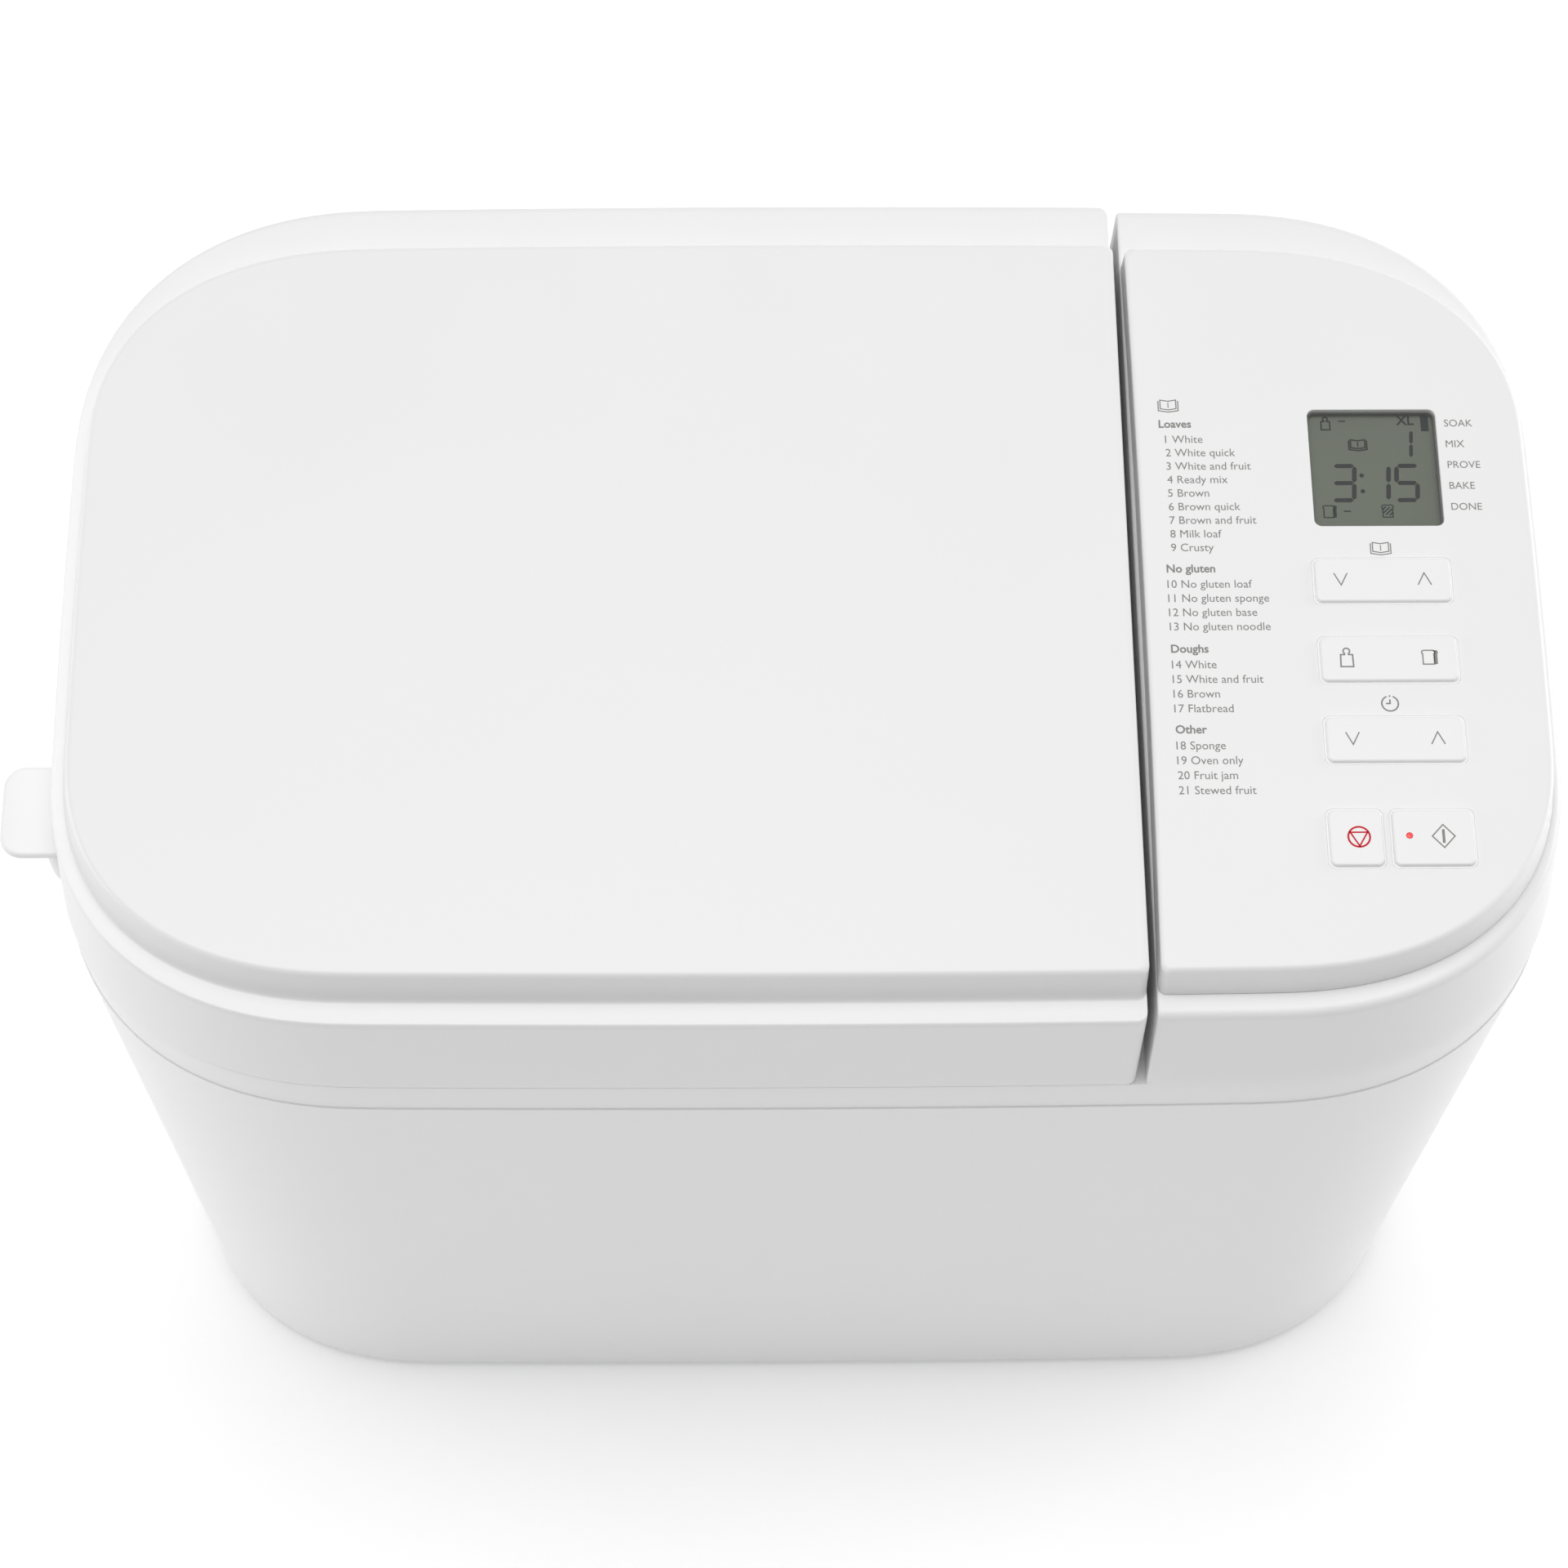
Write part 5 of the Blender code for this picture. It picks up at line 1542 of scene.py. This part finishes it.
@dataclass
class ControlPanel:
    """The raised cover at the right with its keys, its display and its printed words."""

    bench: Bench
    at: Heights
    casing: Casing
    wall: float = WALL
    top: tuple[float, float, float] = (-9.8, -5.4, -20.7)
    key_gap: float = 0.03
    key_radius: float = 2.0
    proud: float = 1.0
    panel_under: float = 312.0
    switch_top: float = 310.1
    stem_radius: float = 1.6
    display: Cap = Cap("display_window", 151.0, 32.4, 34.2, 35.1)
    window_sink: float = 0.4
    window_thick: float = 0.8
    field_sink: float = 2.7
    module_foot: float = 306.0
    lamp: Spot = (152.0, -75.5)
    lamp_radius: float = 0.85
    list_x: float = 93.9
    item_x: float = 95.4
    cap_height: float = 2.42
    stage_x: float = 170.4
    stage_y: float = 45.9
    stage_pitch: float = 6.35
    fine: float = 0.3

    def cover(self) -> None:
        """The cover, with an eased opening for each key and the display."""
        bench, at, wall = self.bench, self.at, self.wall
        top, foot = Level(at.plateau, *self.top), Level(at.panel_foot, *self.casing.panel_step)
        profile = [
            (top.moved(0, -8, 8), 0), (top, 1.5), (foot, 0), (foot.moved(0, -wall, wall), 0),
            (top.moved(-wall, -wall, wall), 1.0), (top.moved(-wall, -wall - 8, wall + 8), 0),
        ]
        cover = bench.loft("panel_cover", self.casing.rings(profile, left=at.control_left))
        for cap in (*ROCKERS, *PUSHES):
            bench.combine(cover, self.opening(cap, self.key_gap, 0.04))
        bench.combine(cover, self.opening(self.display, 0.1, 0.3))
        bench.finish_piece(cover, "housing", PANEL_WHITE, ["control_panel"])

    def opening(self, cap: Cap, gap: float, ease: float) -> bpy.types.Object:
        """A cutter for one opening, flared a little at the top.

        Args:
            cap: what goes through it.
            gap: the clearance round it.
            ease: how far its top edge is rounded.

        Returns:
            The cutter.
        """
        z = self.at.plateau
        size = (cap.width + 2 * gap, cap.depth + 2 * gap)
        path = rounded_profile([(self.panel_under, 0, 0), (z, 0, ease), (z + 0.001, -ease * 2, 0)], 4)
        levels = [BoxLevel(height, inset, self.key_radius - inset) for height, inset in path if height <= z]
        levels.append(BoxLevel(z + 5, levels[-1].inset, levels[-1].radius))
        return self.bench.loft("opening", box_rings(levels, size, (cap.x, cap.y), 10))

    def key(self, cap: Cap) -> bpy.types.Object:
        """A key: a soft-edged cap, a flange under the cover's edge, and stems to its switches.

        Args:
            cap: its place and size.

        Returns:
            The key, not yet dressed.
        """
        z, top = self.at.plateau, self.at.plateau + self.proud
        path = rounded_profile([
            (z - 5, 0.5, 0), (z - 0.7, 0.5, 0), (z - 0.7, 0, 0), (z - 0.02, 0, 0.05), (z, 0.45, 0.1),
            (top, 0.75, 0.6), (top, 4.0, 0),
        ], 6)
        levels = [BoxLevel(height, inset, max(0.6, self.key_radius - inset * 0.5)) for height, inset in path]
        rings = box_rings(levels, (cap.width, cap.depth), (cap.x, cap.y), 10)
        key = self.bench.loft(cap.node + "_cap", rings)
        reach = cap.width / 3 if cap in ROCKERS else 0.0
        for x in {cap.x - reach, cap.x + reach}:
            ends = ((x, cap.y, self.switch_top), (x, cap.y, z - 4.5))
            stem = self.bench.bar("stem", *ends, self.stem_radius)
            self.bench.combine(key, stem, "UNION")
        return key

    def keys(self) -> None:
        """All the keys, and the lamp lens in the start key."""
        for cap in ROCKERS + PUSHES:
            key = self.key(cap)
            if cap.node == "start_key":
                spot, r, top = self.lamp, self.lamp_radius, self.at.plateau + self.proud
                well = self.bench.bar("well", (*spot, top - 2), (*spot, top + 2), r + 0.05, 32)
                self.bench.combine(key, well)
                low = top - 1.7
                corners = [(0, low, 0), (r, low, 0), (r, top + 0.12, 0.3), (0, top + 0.2, 0)]
                lens = self.bench.turned("lamp_lens", rounded_profile(corners, 4), spot, 32)
                self.bench.finish_piece(lens, "start_key", LAMP_RED, ["start_lamp_lens"])
            self.bench.finish_piece(key, cap.node, KEY_WHITE, [cap.node])

    def screen(self) -> None:
        """The clear window, and under it the liquid crystal field with its lit marks."""
        bench, cap = self.bench, self.display
        z = self.at.plateau - self.window_sink
        size, centre = (cap.width, cap.depth), (cap.x, cap.y)
        edge = [(z - self.window_thick, 0.0), (z - 0.15, 0.0), (z, 0.15)]
        levels = [BoxLevel(height, inset, self.key_radius - inset) for height, inset in edge]
        window = bench.loft("clear_cover", box_rings(levels, size, centre, 10))
        bench.finish_piece(window, "housing", CLEAR_WINDOW, ["display_window"])
        top = self.at.plateau - self.field_sink
        sides = [(self.module_foot, 1.2), (top - 0.3, 1.2), (top - 0.3, 0.0), (top, 0.0)]
        levels = [BoxLevel(height, inset, self.key_radius) for height, inset in sides]
        module = bench.loft("crystal_field", box_rings(levels, size, centre, 10))
        right = bench.middle.x + (cap.x + cap.width / 2) * MM
        back = bench.middle.y + (cap.y + cap.depth / 2) * MM
        field_finish = replace(DISPLAY_FIELD, right=right, back=back)
        bench.finish_piece(module, "housing", field_finish, ["display_module"])
        high = z - self.window_thick - 0.02
        sides = [(top + 0.02, 0.02), (high, 0.02), (high, 0.3), (top + 0.02, 0.3)]
        levels = [BoxLevel(height, inset, self.key_radius - inset) for height, inset in sides]
        wall = bench.loft("display_wall", box_rings(levels, size, centre, 10), capped=False)
        bench.finish_piece(wall, "housing", DISPLAY_WALL)
        self.segments(top)

    def segments(self, z: float) -> None:
        """The dark marks that the display shows.

        Args:
            z: the field's height.
        """
        marks = Print(self.bench, z)
        marks.mass((139.0, 47.3), 2.4, 0.42)
        marks.block((142.5, 47.85), (144.4, 48.25))
        marks.words("XL", (160.4, 46.9), 2.9, Align.MIDDLE, Weight.BOLD)
        marks.block((164.6, 44.9), (166.7, 49.8))
        marks.book((147.3, 40.9), 4.8, 0.42)
        marks.digit("1", (156.9, 36.9), 8.2)
        for value, x in (("3", 139.6), ("1", 148.75), ("5", 156.5)):
            marks.digit(value, (x, 23.9), 10.4)
        for y in (26.6, 31.4):
            marks.dot((147.7, y), 0.62)
        marks.slice((138.2, 20.5), 3.0, 0.36, crust=True)
        marks.block((142.2, 20.35), (144.1, 20.75))
        marks.slice((153.9, 20.6), 3.1, 0.34, hatched=True)
        marks.make("display_marks", "housing", DISPLAY_INK)

    def panel_print(self) -> None:
        """The programme list, the stage names and the small signs between the keys."""
        marks = Print(self.bench, self.at.plateau)
        marks.book((96.7, 51.6), 5.3, self.fine)
        number = 1
        for heading, y, pitch, items in PROGRAMMES:
            marks.words(heading, (self.list_x, y - 1.2), self.cap_height, weight=Weight.BOLD)
            first = y - (4.7 if number == 1 else 4.6)
            for index, item in enumerate(items):
                spot = (self.item_x if number < 10 else self.list_x, first - pitch * index - 1.2)
                marks.words(f"{number} {item}", spot, self.cap_height)
                number += 1
        for index, stage in enumerate(STAGES):
            spot = (self.stage_x, self.stage_y - self.stage_pitch * index - 1.1)
            marks.words(stage, spot, self.cap_height * 0.92)
        marks.book((150.7, 8.1), 5.3, self.fine)
        marks.clock((149.9, -37.6), 2.15, 0.4)
        marks.make("panel_words", "housing", PRINT_GREY)

    def key_print(self) -> None:
        """The sign on each key."""
        z = self.at.plateau + self.proud
        for cap in ROCKERS:
            marks = Print(self.bench, z)
            if cap.node == "loaf_key":
                marks.mass((cap.x - 11.1, cap.y + 0.2), 3.3, 0.40)
                marks.slice((cap.x + 10.2, cap.y + 0.3), 3.4, 0.34, crust=True)
            else:
                marks.chevron((cap.x - 11.1, cap.y + 0.1), False, 0.32)
                marks.chevron((cap.x + 10.9, cap.y + 0.1), True, 0.32)
            marks.make(cap.node + "_sign", cap.node, PRINT_GREY)
        stop, start = PUSHES
        marks, spot = Print(self.bench, z), (stop.x + 0.7, stop.y + 0.1)
        marks.round_line(spot, 2.78, 0.5)
        marks.line(arc(spot, (2.55, 2.55), 3, start=150), 0.42, closed=True)
        marks.make("stop_key_sign", stop.node, PRINT_RED)
        marks, (x, y) = Print(self.bench, z), (start.x + 2.5, start.y + 0.2)
        marks.line([(x - 2.9, y), (x, y + 3.2), (x + 2.9, y), (x, y - 3.2)], 0.34, closed=True)
        marks.line([(x, y - 1.9), (x, y + 1.9)], 0.68)
        marks.make("start_key_sign", start.node, PRINT_GREY)

    def build(self) -> None:
        """Make the cover, keys, display and print."""
        self.cover()
        self.keys()
        self.screen()
        self.panel_print()
        self.key_print()


@dataclass
class Oven:
    """The sheet-metal chamber with its heater, sensor and the seat for the pan."""

    bench: Bench
    axis_x: float = AXIS_X
    size: tuple[float, float] = (242.0, 192.0)
    radius: float = 30.0
    flange: float = 8.0
    sheet: float = 1.0
    element_z: float = 66.0
    element_tail: float = 12.0
    element_radius: float = 3.4
    element_left: float = -111.0
    element_right: float = 105.0
    element_end: float = 126.0
    element_side: float = 86.0
    shaft_hole: float = 11.0
    sensor: tuple[float, float] = (45.0, 130.0)

    def chamber(self) -> None:
        """The deep-drawn tub with its flange, and the holes for shaft, heater and sensor."""
        low, top = (value.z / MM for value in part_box("chamber_liner"))
        bench, sheet, flange = self.bench, self.sheet, self.flange
        path = rounded_profile([
            (low, 22, 0), (low, 0, 9.0), (top - sheet, 0, 1.2), (top - sheet, -flange, 0.3),
            (top, -flange, 0.3), (top, sheet, 1.6), (low + sheet, sheet, 8.0), (low + sheet, 22, 0),
        ], 6)
        levels = [BoxLevel(z, inset, max(6.0, self.radius - inset * 0.8)) for z, inset in path]
        tub = bench.loft("oven_tub", box_rings(levels, self.size, (self.axis_x, 0), 14))
        ends = ((self.axis_x, 0, low - 5), (self.axis_x, 0, low + 5))
        bench.combine(tub, bench.bar("shaft_hole", *ends, self.shaft_hole, 40))
        wall = self.axis_x + self.size[0] / 2
        holes = [(side * self.element_tail, self.element_z, self.element_radius + 0.9) for side in (-1, 1)]
        for y, z, radius in (*holes, (*self.sensor, 3.3)):
            bench.combine(tub, bench.bar("hole", (wall - 6, y, z), (wall + 8, y, z), radius, 32))
        bench.finish_piece(tub, "housing", LINER_SHEET, ["chamber_liner"])

    def heater(self) -> None:
        """The tubular heater round the foot of the pan."""
        offsets = (self.element_end, self.element_right, self.element_left)
        end, right, left = (self.axis_x + offset for offset in offsets)
        y, tail, z = self.element_side, self.element_tail, self.element_z
        half = [(left, y), (right, y), (right, tail), (end, tail)]
        corners = [(x, -y) for x, y in reversed(half)] + half
        route = rounded_profile([(*corner, 8.0) for corner in corners], 8)
        tube = self.bench.tube("heater_tube", [(*spot, z) for spot in route], self.element_radius, 20)
        self.bench.finish_piece(tube, "housing", HEATER_STEEL, ["heating_element"])

    def build(self) -> None:
        """Make the chamber and heater, and dress the rest."""
        self.chamber()
        self.heater()
        clips = [f"element_clip_{number}" for number in (1, 2, 3)]
        dress_nodes(STEEL, ["temperature_sensor", "pan_seat", *clips])
        dress_nodes(LINER_SHEET, ["heat_shield", "chassis"])


@dataclass
class Pan:
    """The bread pan with its handle and kneading blade."""

    bench: Bench
    axis_x: float = AXIS_X
    top_z: float = 212.0
    base_z: float = 72.0
    size: tuple[float, float] = (204.0, 154.0)
    radius: float = 28.0
    draft: float = 6.0
    lip: float = 2.0
    wall: float = 1.5
    handle_z: float = 205.0
    arm: float = 83.0
    half: float = 108.0
    wire: float = 2.5
    shaft_hole: float = 8.3
    blade_lift: float = 10.0
    blade_reach: float = 52.0
    blade_height: float = 23.0

    def tub(self) -> None:
        """The pan: drafted walls, a rolled lip and a flat floor with a hole for the shaft."""
        low, top, draft, wall = self.base_z, self.top_z, self.draft, self.wall
        path = rounded_profile([
            (low, 26, 0), (low, draft, 7.0), (top - 2.0, 0, 0.4), (top - 2.0, -self.lip, 1.0),
            (top, -self.lip, 1.0), (top, wall, 1.0), (low + wall, draft + wall, 6.0), (low + wall, 26, 0),
        ], 6)
        levels = [BoxLevel(z, inset, max(5.0, self.radius - inset * 0.75)) for z, inset in path]
        pan = self.bench.loft("loaf_pan", box_rings(levels, self.size, (self.axis_x, 0), 14))
        ends = ((self.axis_x, 0, low - 5), (self.axis_x, 0, low + 5))
        hole = self.bench.bar("hole", *ends, self.shaft_hole, 40)
        self.bench.finish_piece(self.bench.combine(pan, hole), "pan", PAN_COAT, ["bread_pan"])

    def handle(self) -> None:
        """The bail, folded down behind the rim, with an eye at each end."""
        left, right, z = self.axis_x - self.half, self.axis_x + self.half, self.handle_z
        corners = [(left, 4.2, 0), (left, self.arm, 14), (right, self.arm, 14), (right, 4.2, 0)]
        route = rounded_profile(corners, 10)
        bail = self.bench.tube("bail", [(*spot, z) for spot in route], self.wire, 24)
        for x in (left, right):
            eye = self.bench.bar("eye", (x - 1.8, 0, z), (x + 1.8, 0, z), 5, 40)
            self.bench.combine(bail, eye, "UNION")
            self.bench.combine(bail, self.bench.bar("bore", (x - 5, 0, z), (x + 5, 0, z), 2.1, 32))
        self.bench.finish_piece(bail, "handle", WIRE_STEEL, ["pan_handle"])

    def blade(self) -> None:
        """The kneading blade: a domed hub with one leaning, rounded paddle."""
        bench, x, base = self.bench, self.axis_x, self.base_z + self.blade_lift
        top = base + 26
        corners = [(0, base, 0), (11, base, 1.5), (8.4, base + 22, 0), (7, top, 4), (0, top, 0)]
        hub = bench.turned("paddle", rounded_profile(corners, 6), (x, 0), 40)
        rings: list[Ring] = []
        for step in range(13):
            t = step / 12
            reach, lean = self.blade_reach - 10 * t ** 1.6, 5.0 * t
            ring: Ring = []
            for index in range(20):
                angle = 2 * math.pi * index / 20
                along = 0.5 + 0.5 * math.cos(angle)
                thick = 2.4 - 0.9 * t
                run = 4 + (reach - 4) * along
                bow = -6.5 * along ** 2 * (1 - 0.8 * t)
                height = base + 1 + self.blade_height * t
                ring.append((x + run, bow + lean * 0.6 + thick * math.sin(angle), height))
            rings.append(ring)
        bench.combine(hub, bench.loft("fin", rings), "UNION")
        bench.combine(hub, bench.bar("bore", (x, 0, base - 5), (x, 0, base + 22.4), 4.3, 32))
        bench.finish_piece(hub, "blade_drive", PAN_COAT, ["kneading_blade"])

    def build(self) -> None:
        """Make the pan, handle and blade, and dress the fittings."""
        self.tub()
        self.handle()
        self.blade()
        dress_nodes(STEEL, ["pan_foot_ring", "pan_bush", "handle_pivot_left", "handle_pivot_right"])
        dress_nodes(STEEL, ["pan_shaft", "pan_coupling"])


@dataclass
class Works:
    """What the casing hides: the belt drive, the motor and the electronics."""

    bench: Bench

    def build(self) -> None:
        """Dress the frame's own nodes."""
        dress_nodes(STEEL, ["drive_shaft", "drive_coupling", "drive_bush", "motor", "motor_shaft"])
        dress_nodes(GREY_PLASTIC, ["large_pulley", "motor_pulley"])
        dress_nodes(BLACK_RUBBER, ["drive_belt"])
        dress_nodes(BOARD_GREEN, ["control_board", "power_board"])


@dataclass(frozen=True)
class Lamp:
    """A square soft light: where it stands in metres, its side and its watts."""

    name: str
    spot: Point
    size: float
    power: float


@dataclass
class Studio:
    """The floor, the lights and the camera."""

    floor_half: float = 5.0
    lens: float = 92.86
    pitch: float = 65.0
    yaw: float = 2.26
    roll: float = 1.79
    eye: tuple[float, float, float] = (-12.87, -499.84, 1260.85)
    shift: tuple[float, float] = (-0.01189, -0.0030)
    sky: float = 0.32
    aim: Point = (0.0, 0.0, 0.15)
    lamps: tuple[Lamp, ...] = (
        Lamp("overhead", (-0.3, 0.5, 5.0), 3.6, 152.0),
        Lamp("left_fill", (-2.2, -0.1, 0.35), 1.4, 15.0),
        Lamp("right_fill", (2.0, 0.6, 0.35), 1.4, 23.0),
    )

    def floor(self) -> None:
        """A wide pale floor of plain paper."""
        bm = bmesh.new()
        bmesh.ops.create_grid(bm, x_segments=24, y_segments=24, size=self.floor_half)
        data = bpy.data.meshes.new("floor")
        bm.to_mesh(data)
        bm.free()
        floor = placed("floor", data)
        data.materials.append(FLOOR_PAPER.material())

    def sky_light(self) -> None:
        """An even white surround."""
        world = bpy.data.worlds.new("studio")
        bpy.context.scene.world = world
        world.use_nodes = True
        surround = world.node_tree.nodes["Background"]
        surround.inputs["Color"].default_value = (1.0, 1.0, 1.0, 1)
        surround.inputs["Strength"].default_value = self.sky

    def light(self, lamp: Lamp) -> None:
        """Set up a lamp, aimed at the machine."""
        data = bpy.data.lights.new(lamp.name, "AREA")
        data.shape, data.size, data.energy = "SQUARE", lamp.size, lamp.power
        item = placed(lamp.name, data)
        item.location = lamp.spot
        item.rotation_euler = (Vector(self.aim) - Vector(lamp.spot)).to_track_quat("-Z", "Y").to_euler()

    def camera(self) -> None:
        """The camera, looking down from the front."""
        data = bpy.data.cameras.new("camera")
        data.lens, data.sensor_width = self.lens, 36.0
        data.shift_x, data.shift_y = self.shift
        data.clip_start, data.clip_end = 0.05, 50.0
        pitch, yaw, roll = (math.radians(value) for value in (self.pitch, self.yaw, self.roll))
        ahead = Vector((math.sin(yaw) * math.cos(pitch), math.cos(yaw) * math.cos(pitch), -math.sin(pitch)))
        level = Vector((math.cos(yaw), -math.sin(yaw), 0))
        over = level.cross(ahead)
        right = level * math.cos(roll) + over * math.sin(roll)
        up = over * math.cos(roll) - level * math.sin(roll)
        item = placed("camera", data)
        turn = Matrix((right, up, -ahead)).transposed().to_4x4()
        item.matrix_world = Matrix.Translation(Vector(self.eye) * MM) @ turn
        bpy.context.scene.camera = item

    def build(self) -> None:
        """Set the whole studio up."""
        self.camera()
        self.floor()
        self.sky_light()
        for lamp in self.lamps:
            self.light(lamp)
        bpy.context.scene.view_settings.view_transform = "Standard"


def main() -> None:
    """Build the machine round its frame, then the studio."""
    logging.basicConfig(level=logging.INFO, format="%(message)s")
    bench = Bench()
    at = Heights.read(bench)
    casing = Casing(bench, at)
    outside = (casing, Lid(bench, at, casing), ControlPanel(bench, at, casing))
    for group in (*outside, Oven(bench), Pan(bench), Works(bench), Studio()):
        LOG.info("Building: %s", type(group).__name__)
        group.build()


if __name__ == "__main__":
    main()
